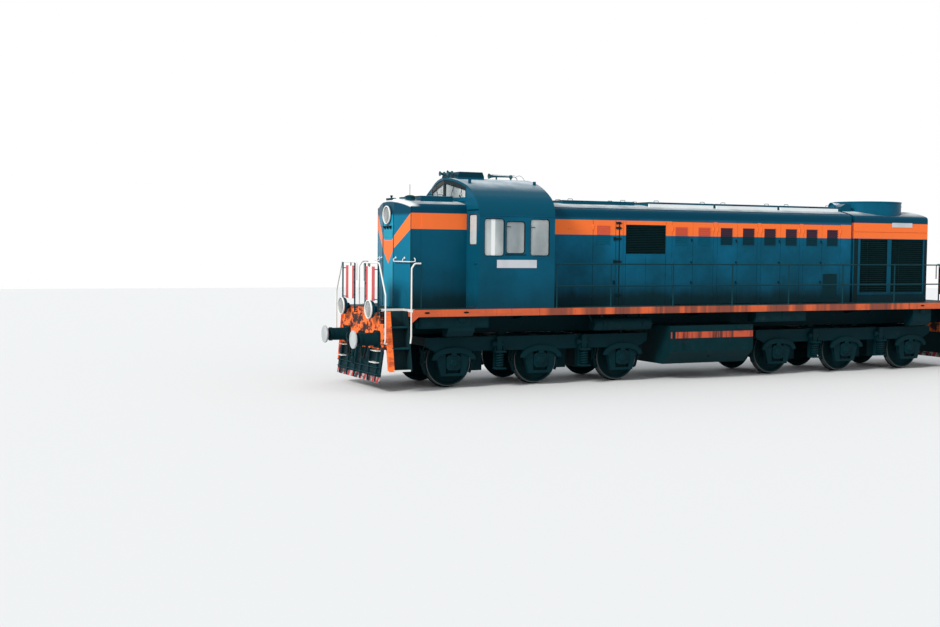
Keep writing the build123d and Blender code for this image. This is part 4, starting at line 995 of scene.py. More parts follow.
LENS = lens_glass()
LAMPS = [
    # back of the case, across, height, depth
    (-8.128, 0.82, 1.695, 0.125), (-8.128, -0.82, 1.695, 0.125), (-7.47, 0.0, 3.668, 0.06),
    (8.128, 0.82, 1.695, 0.125), (8.128, -0.82, 1.695, 0.125), (7.03, 0.0, 3.668, 0.06),
]
LOW_BACK, HIGH_BACK = [(-0.078, 0.06), (-0.03, 0.07), (0.0, 0.12), (0.012, 0.165)], [(0.0, 0.181)]
RIM = [(-0.036, 0.180), (-0.034, 0.194), (-0.018, 0.1995), (-0.006, 0.196), (0, 0.188), (-0.003, 0.177),
       (-0.014, 0.171), (-0.03, 0.171)]
BULGE = [(-0.03, 0.157), (-0.020, 0.157), (-0.012, 0.12), (-0.006, 0.06), (-0.005, 0.001)]
drums, rims, lenses = forms(3)
for x, y, z, depth in LAMPS:
    facing, place = (math.copysign(1, x), 0, 0), (x, y, z)
    back = LOW_BACK if depth > 0.1 else HIGH_BACK
    drums.turned(place, facing, [*back, (0.03, 0.181), (depth - 0.035, 0.184), (depth - 0.03, 0.15)], 48)
    rims.turned(place, facing, [(depth + a, r) for a, r in RIM], 56, closed=True)
    lenses.turned(place, facing, [(depth + a, r) for a, r in BULGE], 48)
for name, form, finish in (("drums", drums, LAMP_CASE), ("rims", rims, WHITE), ("lenses", lenses, LENS)):
    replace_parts(form.build(f"lamp_{name}", finish), "headlamps")
print("lamps:", len(LAMPS))

# %% [markdown]
# ## Rails
# Handrails are bent pipe with real radii. The frame's pipes have mitred corners and six flats, so the same
# routes are swept again with bends and twelve sides, with a foot flange under every post.

# %% White grab rails and dark handrails
RAIL_HIGH, RAIL_MID = 2.627 + RAIL, 2.147 + RAIL
FRONT_GRAB = [(8.05, 1.4107, 1.018), (8.11, 1.4107, 1.018), (8.11, 1.46, 1.086), (8.11, 1.46, 2.008),
              (8.11, 1.101, RAIL_HIGH), (8.11, 0.21, RAIL_HIGH), (8.11, 0.21, 2.268)]
SIDE_GRAB = [(7.574, 1.50, 1.018), (7.557, 1.50, 1.154), (7.557, 1.50, 2.553), (7.489, 1.50, RAIL_HIGH),
             (7.352, 1.50, RAIL_HIGH)]
SIDE_LEG = [(7.352, 1.50, RAIL_HIGH), (7.34, 1.50, 2.60), (7.34, 1.50, DECK_TOP)]
white, legs = forms(2)
for _ in mirrored(CORNERS, white, legs):
    white.tube(FRONT_GRAB, 0.017, 0.07)
    white.tube(SIDE_GRAB, 0.017, 0.07)
    legs.tube(SIDE_LEG, 0.011, 0.03)
for piece in (white.build("white_grab_rails", WHITE), legs.build("grab_rail_legs", RAILING)):
    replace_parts(piece, "grab_rails")
print("grab rails:", 2 * len(CORNERS))

POSTS, POST_Y = [-4.163, *(-2.8 + 1.64 * n for n in range(7))], 1.515
FOOT_FLANGE = [(0, 0.034), (0.008, 0.034), (0.012, 0.030), (0.03, 0.019)]
BALL = [(0, 0.015), (0.006, 0.021), (0.022, 0.0235), (0.038, 0.021), (0.044, 0.015)]
rails, posts = forms(2)
for _ in mirrored(SIDES, rails, posts):
    for z in (RAIL_MID, RAIL_HIGH):
        rails.tube([(-4.18, POST_Y, z), (7.272, POST_Y, z)], 0.016)
    for x in POSTS:
        posts.tube([(x, POST_Y, DECK_TOP), (x, POST_Y, RAIL_HIGH)], 0.0165)
        posts.turned((x, POST_Y, DECK_TOP), UP, FOOT_FLANGE, 20)
        for z in (RAIL_MID, RAIL_HIGH):
            posts.turned((x, POST_Y, z - 0.022), UP, BALL, 16)
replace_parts(rails.build("walkway_rails", RAILING), "side_handrails")
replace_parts(posts.build("walkway_posts", RAILING), "rail_posts")
print("walkway posts:", 2 * len(POSTS))

# %% [markdown]
# ## Windows and doors of the cab
# Rubber seals frame the panes, and their rounded corners hide the cut corners of the openings. A seal is
# one closed tube along the edge of its opening, which is also how it is fitted to the real window.

# %% Window seals
SIDE_PANES = [
    # from, to, bottom, top
    (-5.93, -5.455, 2.784 + RAIL, 3.578 + RAIL), (-5.418, -4.962, 2.836 + RAIL, 3.525 + RAIL),
    (-4.838, -4.370, 2.790 + RAIL, 3.583 + RAIL),
]
SEAL_INSET = 0.004
CAB_FRONT, CAB_REAR = -6.05, -4.24
CAB_DOORS = (
    # name, wall, way out along X, side
    ("cab_door_front", CAB_FRONT, -1, -1), ("cab_door_rear", CAB_REAR, 1, 1),
)


def seal_loop(form, corners, radius=0.014, bend=0.075):
    """A closed seal along the corners of an opening."""
    corners = [Vector(c) for c in corners]
    start = (corners[-1] + corners[0]) / 2
    form.tube([start, *corners, start], radius, bend, 10, closed=True)


seals = Form()
for _ in mirrored(SIDES, seals):
    for x0, x1, z0, z1 in SIDE_PANES:
        opening = rectangle(x0 + SEAL_INSET, x1 - SEAL_INSET, z0 + SEAL_INSET, z1 - SEAL_INSET)
        seal_loop(seals, [(x, 1.524, z) for x, z in opening])
for door, x, out, side in CAB_DOORS:
    opening = rectangle(1.05, 1.41, 3.048, 3.688)
    door_seal = Form()
    for form, sy in ((seals, -side), (door_seal, side)):
        seal_loop(form, [(x - out * 0.012, sy * y, z) for y, z in opening], 0.013, 0.06)
    door_seal.build(f"{door}_seal", SEAL, door)
seals.build("window_seals", SEAL)
print("side windows sealed:", 2 * len(SIDE_PANES))

# %% [markdown]
# ## Hooks, couplings and hoses
# A draw hook is one forging, so its outline is cut thick and its edges are broken by a bevel. The screw,
# its two nuts and the links that hang on it are turned and bent bar. The air hoses are held at both ends,
# by a cock and a holder.

# %% Draw hooks, screw couplings and air hoses
HOOK = [
    # ahead of the beam, above the hook's line
    (0.0, -0.055), (0.17, -0.055), (0.215, -0.078), (0.25, -0.100), (0.29, -0.100), (0.325, -0.078),
    (0.352, -0.035), (0.362, 0.015), (0.352, 0.065), (0.332, 0.088), (0.308, 0.084), (0.303, 0.060),
    (0.314, 0.025), (0.300, -0.004), (0.268, -0.014), (0.240, 0.004), (0.222, 0.034), (0.200, 0.056),
    (0.0, 0.055),
]
LINKS = (
    # half width and height of a link's corners
    [(0.052, 0.765), (0.052, 1.035), (0.02, 1.056)], [(0.052, 0.640), (0.052, 0.540), (0.028, 0.502)],
)
TRUNNION = [(0, 0.014), (0.004, 0.018), (0.045, 0.020), (0.055, 0.030)]
THREAD = [(0, 0.012), *((0.016 * k + 0.002, 0.0225 + 0.004 * (k % 2)) for k in range(17)), (0.262, 0.012)]
KNOB = [(0, 0.008), (0.006, 0.022), (0.022, 0.028), (0.038, 0.022), (0.044, 0.006)]
HOSE_PATH = [(8.07, 0.29, 0.998), (8.150, 0.29, 0.998), (8.198, 0.31, 0.905), (8.200, 0.36, 0.690),
             (8.200, 0.43, 0.636), (8.200, 0.50, 0.690), (8.160, 0.566, 0.930), (8.155, 0.57, 0.985)]
COCK = [(0, 0.052), (0.010, 0.052), (0.014, 0.030), (0.05, 0.030), (0.055, 0.036), (0.085, 0.036),
        (0.09, 0.027), (0.115, 0.026)]
STUB = [(0, 0.034), (0.010, 0.034), (0.012, 0.014), (0.130, 0.013)]
COCK_LEVER = [(8.118, 0.29, 1.03), (8.118, 0.30, 1.062), (8.118, 0.40, 1.070)]
HOLDER = ((-0.04, -0.035), (0.02, -0.035), (0.045, -0.01), (0.045, 0.03), (0.015, 0.05), (-0.04, 0.04))
hooks, screws, hoses, cocks = forms(4)
for _ in mirrored(ENDS, hooks, screws):
    hooks.side_plate(HEADSTOCK, -0.027, COUPLING_Z, HOOK, 0.054)
    hooks.end_plate(HEADSTOCK, 0, COUPLING_Z, clipped(-0.18, 0.18, -0.12, 0.12, 0.04, 0.03), 0.026)
    hooks.bolts([(HEADSTOCK + 0.026, a, COUPLING_Z + b)
                 for a, b in product((-0.135, 0.135), (-0.085, 0.085))], ALONG, 0.018, 0.016)
    x = 8.265
    for link in LINKS:
        screws.tube([*((x, -y, z) for y, z in link), *((x, y, z) for y, z in reversed(link))], 0.0155, 0.02)
    for z in (0.765, 0.636):
        screws.turned((x, -0.082, z), OUT, [*TRUNNION, *((0.164 - a, r) for a, r in reversed(TRUNNION))], 20)
    screws.turned((x, 0, 0.572), UP, THREAD, 20)
    screws.tube([(x, 0.0, 0.700), (x, 0.07, 0.696), (x, 0.150, 0.660)], 0.010, 0.03)
    screws.turned((x, 0.140, 0.664), (0, 0.9, -0.4), KNOB, 20)
for _ in mirrored(CORNERS, hoses, cocks):
    hoses.tube(HOSE_PATH, 0.0215, 0.09, 16)
    cocks.turned((HEADSTOCK, 0.29, 0.998), ALONG, COCK, 24)
    cocks.tube(COCK_LEVER, 0.008, 0.02)
    cocks.turned((HEADSTOCK, 0.57, 1.01), ALONG, STUB, 20)
    cocks.side_plate(8.155, 0.545, 0.990, HOLDER, 0.05)
    cocks.turned((8.1585, 0.5675, 0.955), (0, 0, -1), [(-0.02, 0.028), (0.0, 0.028), (0.035, 0.026)], 20)
for piece in (hooks.build("draw_hooks", RUNNING, bevel=0.007), screws.build("screw_links", RUNNING)):
    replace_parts(piece, "couplings")
for piece in (hoses.build("air_hoses", HOSE), cocks.build("air_cocks", RUNNING, bevel=0.002)):
    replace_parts(piece, "brake_hoses")
print("couplings:", len(ENDS), "hoses:", len(CORNERS))

# %% [markdown]
# ## The ends of the deck
# White strips run round each stairwell, and the lowest tread has a white nosing. The steel that pushes things
# off the track has ribs and steps that catch the light, and white bars whose white is a painted highlight.

# %% Stair edges, end posts and the ribs of the rail guard
TREADS = (1.33 + RAIL, 0.90 + RAIL, 0.45 + RAIL)
EDGE_TOP = DECK_TOP + 0.006
STUD = [(0, 0.011), (0.003, 0.010), (0.004, 0.006)]
GUARD_RIB = [(8.076, 0.890), (8.168, 0.210), (8.196, 0.215), (8.160, 0.50), (8.118, 0.86)]


def tread_edge(z):
    """How far out the front of a tread lies at a height."""
    return 1.54 - 0.25 * (z - 0.448) / 1.22


def guard_face_at(z):
    """How far out the raked rail guard lies at a height."""
    return 8.075 + 0.09 * (0.898 - z) / 0.70


edges, noses, low_noses, ribs = forms(4)
for _ in mirrored(CORNERS, edges, noses, low_noses, ribs):
    edges.box(7.5395, 7.546, 1.046, 1.537, 1.655, EDGE_TOP)
    edges.box(7.54, 8.052, 1.046, 1.054, 1.655, EDGE_TOP)
    edges.box(7.50, 7.546, 1.20, 1.537, DECK_TOP, EDGE_TOP)
    for z in TREADS:
        y = tread_edge(z)
        nose = [(-0.035, 0.003), (0.003, 0.003), (0.003, -0.031), (-0.001, -0.031), (-0.001, 0), (-0.035, 0)]
        (noses if z > TREADS[-1] else low_noses).end_plate(7.575, y, z, nose, 0.380)
        for k, m in product(range(6), range(3)):
            noses.turned((7.61 + 0.062 * k, y - 0.07 - 0.055 * m, z), UP, STUD, 8)
    for y in (0.31, 1.05):
        ribs.tube([(8.11, y, 1.575), (8.11, y, 2.640)], 0.0165)
        ribs.box(8.05, 8.112, y - 0.025, y + 0.025, 1.672, 1.700)
        ribs.box(8.05, 8.112, y - 0.025, y + 0.025, 1.580, 1.600)
        ribs.bolts([(8.127, y, 1.686)], ALONG, 0.011, 0.010)
    for y in (0.18, 0.62, 1.06):
        ribs.side_plate(0, y - 0.008, 0, GUARD_RIB, 0.016)
# Two steps at each corner of the rail guard; their white is a painted highlight.
for _ in mirrored(CORNERS, edges):
    for z in (0.60, 0.84):
        edges.box(guard_face_at(z) - 0.01, guard_face_at(z) + 0.10, 0.80, 1.14, z, z + 0.018)
for _ in mirrored(ENDS, ribs):
    for z, reach in ((0.50, 0.055), (0.36, 0.045)):
        step = [(-0.002, 0), (reach, 0), (reach, 0.012), (-0.004, 0.012)]
        ribs.side_plate(guard_face_at(z), -1.20, z, step, 2.40)
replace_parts(ribs.build("end_posts_and_ribs", RAILING, bevel=0.002), "end_railings")
edges.build("white_deck_edges", WHITE, bevel=0.002)
noses.build("tread_noses", RAILING)
low_noses.build("low_tread_noses", WHITE)
print("treads:", len(CORNERS) * len(TREADS))


# %% Striped boards between the end posts
def striped_board():
    finish = Finish("striped_board", "frame_black")
    wear, across = finish.noise(9.0, 6.0, 0.7), abs(finish.y)
    borders = across.between(0.470, 0.505, 0.001).most(across.between(0.655, 0.690, 0.001))
    middle = across.between(0.505, 0.655, 0.001)
    tone = finish.mix(middle.most(borders), (0.46, 0.060, 0.062), (0.74, 0.70, 0.68))
    tone = finish.mix(wear.rise(0.60, 0.74) * 0.5, tone, (0.14, 0.10, 0.095))
    finish.coat(Base_Color=tone, Roughness=wear * 0.3 + 0.35, Specular_IOR_Level=0.25,
                Normal=finish.bump(wear, 0.002, 0.5))
    return finish


boards, clips = forms(2)
for _ in mirrored(CORNERS, boards, clips):
    boards.end_plate(8.106, 0, 0, clipped(0.327, 0.850, 1.868, 2.578, 0.008), 0.008)
    for z in (1.95, 2.22, 2.49):
        clips.box(8.100, 8.1165, 0.318, 0.36, z - 0.016, z + 0.016)
        clips.bolts([(8.1135, 0.345, z)], ALONG, 0.008, 0.007)
    clips.tube([(8.108, 0.56, 2.56), (8.108, 0.56, 2.640)], 0.012)
    for z in (1.90, 2.52):
        clips.tube([(8.108, 0.845, z), (8.108, 1.05, z)], 0.010)
for piece in (boards.build("striped_boards", striped_board(), bevel=0.002),
              clips.build("board_clips", RAILING)):
    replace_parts(piece, "end_railings")
print("striped boards:", len(CORNERS))

# %% [markdown]
# ## The nose
# The short hood is plain sheet, so its small fittings carry it: a ledge under the lamp, a blank plate in a
# paler blue, the joints of the three faces, and a white rail that crews hold while they walk round the
# corner.

# %% Fittings of the short hood
PLATE_BLUE = dark_metal("blank_plate_blue", "blue_paint", base=(0.010, 0.170, 0.235), rust=0.0, rough=0.45,
                        grain=0.0005)
NOSE_RAIL_Z = 2.655 + RAIL
trim, plate, nose_rail = forms(3)
plate.end_plate(-7.471, 0, 0, clipped(-0.24, 0.27, 3.180, 3.318, 0.005, 0.006), -0.005)
trim.side_plate(0, -0.215, 0, [(-7.468, 3.440), (-7.545, 3.428), (-7.545, 3.420), (-7.468, 3.424)], 0.43)
for y in (-0.16, 0.0, 0.16):
    trim.side_plate(0, y - 0.006, 0, [(-7.468, 3.426), (-7.530, 3.424), (-7.468, 3.345)], 0.012)
for _ in mirrored(SIDES, trim, nose_rail):
    # A dark strip at each edge of the flat middle face is a painted shade for the groove there.
    trim.box(-7.4725, -7.4685, 0.270, 0.318, 1.72, 3.76)
    trim.tube([(-7.3395, 0.921, 1.74), (-7.3395, 0.921, 3.84)], 0.006)
    inner, corner = Vector((-7.47, NOSE_FLAT, NOSE_RAIL_Z)), Vector((-7.34, NOSE_SIDE, NOSE_RAIL_Z))
    facing = Vector((inner.y - corner.y, corner.x - inner.x, 0)).normalized() * 0.055
    start = inner.lerp(corner, 0.12)
    middle = start.lerp(corner, 0.60)
    root, knee = Vector((0, 0, 0.075)), Vector((0, 0, 0.055))
    bend, tail = corner + facing * 0.9 + Vector((0, 0.05, 0)), Vector((-7.255, 0.975, NOSE_RAIL_Z))
    nose_rail.tube([start + root, start + facing + knee, start + facing, bend, tail, tail + knee,
                    (tail.x, 0.925, tail.z + root.z)], 0.0115, 0.035)
    elbow = middle + facing * 0.8 + Vector((0, 0, 0.050))
    nose_rail.tube([middle + root, elbow, middle + facing], 0.009, 0.03)
    for spot in (start, middle):
        nose_rail.turned(spot + root, facing, [(-0.002, 0.026), (0.005, 0.025), (0.007, 0.012)], 16)
trim.build("nose_joints_and_ledge", RAILING, bevel=0.001)
plate.build("blank_nose_plate", PLATE_BLUE, bevel=0.001)
nose_rail.build("nose_grab_rails", WHITE)
print("nose rail height:", round(NOSE_RAIL_Z, 3))

# %% [markdown]
# ## Shutters, grilles and vents
# Air goes in through pressed or folded slats. On the real radiator the shutters turn in a frame that is
# screwed over the opening. Each slat here is one leaning strip; a bump map would look flat where the light
# comes along the wall.

# %% Shutters and the hood's grilles
BANKS = ((4.74, 5.72), (5.78, 6.90))
SHUTTER_LOW, SHUTTER_HIGH = 1.914, 3.292
GRILLE_BOX = (-2.07, -0.99, 2.878, 3.538)
SHUTTER_FRAME = (
    # from, to, bottom, top, face
    (4.735, 4.805, 1.90, 3.300, 0.947), (5.690, 5.820, 1.90, 3.300, 0.947),
    (6.895, 6.925, 1.90, 3.300, 0.947), (4.805, 6.895, 1.90, 1.955, 0.946),
    (4.805, 6.895, 3.283, 3.300, 0.945),
)
STRIP_BOLTS = (4.77, 5.725, 5.785, 6.91)


def slats(form, x0, x1, back, face, z0, z1, count, thick):
    """Level strips that lean outwards and down, filling a height; thick is their share of the pitch."""
    pitch = (z1 - z0) / count
    strip = [(back, pitch * (0.95 - thick)), (back, pitch * 0.95),
             (face, pitch * (0.05 + thick)), (face, pitch * 0.05)]
    for n in range(count):
        form.end_plate(x0, 0, z0 + n * pitch, strip, x1 - x0)


def frame_round(form, x0, x1, z0, z1, y0, y1, width):
    """Four flat strips round an opening in a side wall."""
    for a, b, c, d in ((x0 - width, x0, z0 - width, z1 + width), (x1, x1 + width, z0 - width, z1 + width),
                       (x0, x1, z0 - width, z0), (x0, x1, z1, z1 + width)):
        form.box(a, b, y0, y1, c, d)


shutters, strips, grilles, rims = forms(4)
for _ in mirrored(SIDES, shutters, strips, grilles, rims):
    for x0, x1 in BANKS:
        shutters.box(x0 + 0.001, x1 - 0.001, 0.8805, 0.886, SHUTTER_LOW + 0.001, SHUTTER_HIGH - 0.001)
        slats(shutters, x0 + 0.002, x1 - 0.002, 0.896, 0.938, SHUTTER_LOW, SHUTTER_HIGH, 27, 0.14)
        shutters.turned((x0 + 0.30, 0.9385, SHUTTER_LOW + 0.07), UP, [(0, 0.006), (1.24, 0.006)], 8)
    shutters.box(4.606, 4.738, 0.9402, 0.9425, 1.712, 3.300)
    shutters.box(6.93, 7.026, 0.9402, 0.9425, 1.92, 3.285)
    for x0, x1, z0, z1, face in SHUTTER_FRAME:
        strips.box(x0, x1, 0.9385, face, z0, z1)
    strips.bolts([(x, 0.947, z) for x, z in product(STRIP_BOLTS, (1.93, 2.27, 2.61, 2.95, 3.27))],
                 OUT, 0.007, 0.005)
    x0, x1, z0, z1 = GRILLE_BOX
    grilles.box(x0 + 0.001, x1 - 0.001, 0.8905, 0.896, z0 + 0.001, z1 - 0.001)
    slats(grilles, x0 + 0.002, x1 - 0.002, 0.905, 0.939, z0, z1, 17, 0.22)
    frame_round(rims, x0, x1, z0, z1, 0.9395, 0.9435, 0.022)
    rims.bolts([(x, 0.9435, z) for x, z in product((x0 - 0.011, x1 + 0.011), (z0, (z0 + z1) / 2, z1))],
               OUT, 0.006, 0.004)
for piece in (shutters.build("radiator_shutters", GRILLE), grilles.build("hood_grille_slats", GRILLE)):
    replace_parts(piece, "louvres")
strips.build("shutter_frames", CAB_PAINT, bevel=0.002)
rims.build("grille_rims", BODY, bevel=0.001)
print("banks of shutters:", 2 * len(BANKS))

# %% Vents, hinges and latches of the doors
DOOR_PANEL = dark_metal("door_panel_paint", "blue_paint", base=(0.001, 0.016, 0.022), rust=0.0, rough=0.4,
                        grain=0.001)
SEAMS, HINGE_REACH, VENT_REACH = (-0.237, 1.037, 2.311, 3.585), 0.574, 0.32
LATCH_HEIGHTS = (2.235, 2.70, 3.215)
PANEL_DOOR, PANEL_BOX = 8, (3.625, 4.075, 1.85, 2.42)


def barrel(form, place, axis, length, radius, ends, sides=14):
    """The barrel of a hinge, a little thinner at its ends."""
    form.turned(place, axis, [(0, ends), (0.002, radius), (length - 0.002, radius), (length, ends)], sides)


def vent_cover(slat_form, rim_form, middle):
    x0, x1, z0, z1 = middle - 0.172, middle + 0.172, 3.100, 3.505
    slats(slat_form, x0, x1, 0.9385, 0.9455, z0, z1, 9, 0.40)
    frame_round(rim_form, x0, x1, z0, z1, 0.9395, 0.9450, 0.014)


def leaf_hinges(form, x, hand):
    for z in (1.90, 2.70, 3.47):
        barrel(form, (x, 0.942, z - 0.055), UP, 0.110, 0.013, 0.011)
        form.box(x, x - hand * 0.065, 0.9395, 0.944, z - 0.035, z + 0.035)


def leaf_latches(form, seam):
    knob = [(0, 0.022), (0.004, 0.022), (0.008, 0.014), (0.020, 0.013), (0.022, 0.010)]
    for z in LATCH_HEIGHTS:
        form.turned((seam - 0.040, 0.94, z), OUT, knob, 20)
        form.box(seam - 0.047, seam - 0.033, 0.954, 0.963, z - 0.060, z + 0.015)


for number, (side, seam, hand) in enumerate(product(SIDES, SEAMS, (-1, 1)), 1):
    door = f"engine_door_{number}"
    cover, rim, dark, panel = forms(4, side)
    vent_cover(cover, rim, seam + hand * VENT_REACH)
    leaf_hinges(rim, seam + hand * HINGE_REACH, hand)
    if number == PANEL_DOOR:
        x0, x1, z0, z1 = PANEL_BOX
        panel.box(x0, x1, 0.9395, 0.9435, z0, z1)
        panel.build(f"{door}_panel", DOOR_PANEL, door, bevel=0.001)
        frame_round(rim, x0, x1, z0, z1, 0.9395, 0.9455, 0.012)
    cover.build(f"{door}_vent", VENT_PAINT, door)
    rim.build(f"{door}_rims", BODY_DOORS, door, bevel=0.001)
    if hand < 0:
        leaf_latches(dark, seam)
        dark.build(f"{door}_latches", GRILLE, door, bevel=0.001)
cover, rim, dark = forms(3)
for _ in mirrored(SIDES, cover, rim, dark):
    vent_cover(cover, rim, -2.66)
    leaf_hinges(rim, -2.93, 1)
    for z in LATCH_HEIGHTS:
        dark.box(-2.395, -2.355, 0.94, 0.956, z - 0.04, z + 0.04)
    for z in (1.95, 2.70, 3.215, 3.458, 3.568):
        dark.box(-2.335, -2.215, 0.950, 0.967, z - 0.028, z + 0.028)
        dark.bolts([(-2.19, 0.952, z)], OUT, 0.010, 0.009)
    dark.box(-2.262, -2.238, 0.950, 0.957, 1.74, 3.60)
    for x in (-2.932, -2.338, -2.072, -0.988):
        dark.box(x - 0.004, x + 0.004, 0.9385, 0.941, 1.73, 3.615)
cover.build("side_door_vents", VENT_PAINT)
rim.build("side_door_rims", BODY, bevel=0.001)
dark.build("hood_fasteners", GRILLE, bevel=0.001)
print("doors fitted:", number)

# %% [markdown]
# ## Cab fittings
# Glass in the doors, a gasket strip, handles, wipers and the catches of the sliding panes are all small
# beside the cab, but they tell its size. A pane is cut glass with rounded corners, so its outline is a path
# with a radius.

# %% Door panes, handles, wipers and blank plates


def blank_paint():
    finish = Finish("blank_plate", "white_paint")
    mist = finish.noise(3.0, 5.0)
    tone = finish.mix(mist.rise(0.4, 0.7) * 0.6, (0.52, 0.54, 0.58), (0.40, 0.43, 0.46))
    finish.coat(Base_Color=tone, Roughness=mist * 0.3 + 0.3, Specular_IOR_Level=0.3)
    return finish


PANE = rectangle(1.051, 1.404, 3.049, 3.687)
HANDLE_BOSS = [(0, 0.030), (0.005, 0.030), (0.008, 0.012), (0.024, 0.011)]
WIPER_BOSS = [(0, 0.020), (0.010, 0.020), (0.014, 0.012), (0.034, 0.010)]
for door, x, out, side in CAB_DOORS:
    pane, fittings = forms(2, (out, side))
    wall = out * x               # the wall's place before the flip
    pane.prism(rounded_loop([(wall - 0.014, y, z) for y, z in PANE], 0.045), (-0.010, 0, 0))
    pane.build(f"{door}_pane", GLASS, door)
    for z in (1.95, 2.75, 3.58):
        barrel(fittings, (wall, 0.985, z - 0.05), UP, 0.10, 0.014, 0.011)
        fittings.box(wall, wall + 0.004, 0.985, 1.045, z - 0.035, z + 0.035)
    fittings.turned((wall, 1.425, 2.66), ALONG, HANDLE_BOSS, 18)
    fittings.tube([(wall + 0.020, 1.425, 2.66), (wall + 0.024, 1.41, 2.66), (wall + 0.024, 1.31, 2.655)],
                  0.008, 0.02)
    fittings.box(wall, wall + 0.005, 1.405, 1.445, 2.55, 2.615)
    fittings.build(f"{door}_fittings", CAB_PAINT, door, bevel=0.001)
cab_dark, plates = forms(2)
for _ in mirrored(SIDES, cab_dark, plates):
    for y, high in ((0.33, 4.27), (0.66, 4.20)):
        x = CAB_FRONT - 0.12 * (1 - y / 0.94) - 0.012
        cab_dark.turned((x + 0.014, y, 4.085), (-1, 0, 0), WIPER_BOSS, 16)
        cab_dark.tube([(x - 0.014, y, 4.085), (x - 0.006, y + 0.10, high)], 0.004)
        cab_dark.tube([(x, y + 0.08, high - 0.11), (x - 0.002, y + 0.11, high + 0.07)], 0.006)
    for x, z in ((-5.40, 3.435), (-4.825, 3.43)):
        cab_dark.box(x, x + 0.10, 1.526, 1.533, z - 0.007, z + 0.007)
    cab_dark.box(-5.44, -4.94, 1.538, 1.5475, 2.835, 2.852)
    for _, wall, out, _ in CAB_DOORS:
        cab_dark.box(wall + out * 0.002, wall + out * 0.014, 0.955, 1.50, 3.782, 3.792)
    plates.box(-5.63, -4.68, 1.5395, 1.5445, 2.568, 2.738)
    plates.box(5.83, 6.50, 0.9395, 0.9475, 3.592, 3.706)
cab_dark.build("wipers_and_catches", SEAL)
plates.build("blank_side_plates", blank_paint(), bevel=0.0015)
print("cab doors glazed:", len(CAB_DOORS))

# %% [markdown]
# ## Horns, fan and roof
# Horns are spun brass, so they are turned. The fan sits in a rolled drum under a welded wire guard; each
# blade is twisted, flatter at its tip, because the tip moves faster than the root.

# %% Horns
BELL = [(0.050, 0.006), (0.030, 0.018), (0.012, 0.036), (0.0, 0.054), (0.004, 0.057), (0.016, 0.044),
        (0.035, 0.031), (0.060, 0.025), (0.088, 0.024), (0.092, 0.042), (0.098, 0.045), (0.122, 0.045),
        (0.128, 0.038), (0.132, 0.012), (0.138, 0.012)]
LONG_BELL = [(0.075, 0.010), (0.03, 0.030), (0.0, 0.058), (0.006, 0.061), (0.030, 0.046), (0.070, 0.033),
             (0.130, 0.025), (0.260, 0.020), (0.480, 0.017), (0.52, 0.017), (0.525, 0.036), (0.535, 0.040),
             (0.575, 0.040), (0.585, 0.030), (0.59, 0.012)]
PAIR_Y, PAIR_Z, LONG_Z, ROOF_Z = 0.20, 4.600, 4.572, 4.470
LOOP_STEPS = 10
brass, brackets = forms(2)
for y in (-PAIR_Y, PAIR_Y):
    brass.turned((-6.180, y, PAIR_Z), ALONG, BELL, 28)
    brackets.box(-6.110, -6.080, y - 0.02, y + 0.02, ROOF_Z, PAIR_Z - 0.017)
brackets.tube([(-6.055, -PAIR_Y, PAIR_Z), (-6.045, -PAIR_Y + 0.03, PAIR_Z), (-6.045, PAIR_Y - 0.03, PAIR_Z),
               (-6.055, PAIR_Y, PAIR_Z)], 0.010, 0.03)
brackets.tube([(-6.045, 0.0, PAIR_Z), (-6.02, 0.0, PAIR_Z - 0.03), (-5.99, 0.0, 4.480)], 0.008, 0.02)
brass.turned((-5.08, 0, LONG_Z), ALONG, LONG_BELL, 28)
for x in (-4.90, -4.54):
    brackets.box(x, x + 0.024, -0.018, 0.018, ROOF_Z, LONG_Z)
brackets.tube([(-4.49, 0, LONG_Z), (-4.42, 0, LONG_Z), (-4.37, 0, LONG_Z - 0.04), (-4.37, 0, 4.46)],
              0.007, 0.03)
brackets.tube([(-4.42 + 0.26 * t, 0, 4.560 + 0.050 * math.sin(math.pi * t) - 0.09 * t ** 3)
               for t in (k / LOOP_STEPS for k in range(LOOP_STEPS + 1))], 0.004)
brackets.tube([(-5.00, 0, 4.612), (-4.70, 0, 4.600), (-4.42, 0, 4.604)], 0.003)
for piece in (brass.build("turned_horns", HORN), brackets.build("horn_brackets", HORN, bevel=0.002)):
    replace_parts(piece, "horns")
print("horns: 3")

# %% Fan drum, guard and rotor
FAN_X, BLADES, BLADE_STEPS = 5.83, 8, 8
DRUM_PROFILE = [(0, 0.822), (0, 0.858), (0.335, 0.858), (0.340, 0.868), (0.352, 0.870), (0.366, 0.868),
                (0.372, 0.858), (0.374, 0.845), (0.370, 0.822)]
HUB_PROFILE = [(0, 0.09), (0.005, 0.135), (0.012, 0.139), (0.110, 0.139), (0.122, 0.125), (0.134, 0.08),
               (0.138, 0.03)]
BLADE_SECTION = ((-1, 0.3), (-0.6, 1), (0, 1.25), (0.6, 0.9), (1, 0.25), (0.6, -0.5), (0, -0.6), (-0.6, -0.6))


def round_fan(radius, turn, z):
    """A place at a radius and an angle round the fan's axis."""
    return (FAN_X + radius * math.cos(turn), radius * math.sin(turn), z)


def blade_ring(turn, s):
    """The section of a blade, s from 0 at the root to 1 at the tip, bent round the axis."""
    radius, pitch = 0.12 + 0.668 * s, math.radians(38 - 22 * s)
    half, thick = 0.060 + 0.040 * s, 0.009 - 0.004 * s
    ring = []
    for u, v in BLADE_SECTION:
        across = half * u * math.cos(pitch) - thick * v * math.sin(pitch)
        rise = half * u * math.sin(pitch) + thick * v * math.cos(pitch)
        reach = math.sqrt(max(radius * radius - across * across, 0.0))
        ring.append((FAN_X + reach * math.cos(turn) - across * math.sin(turn),
                     reach * math.sin(turn) + across * math.cos(turn), 4.068 + rise))
    return ring


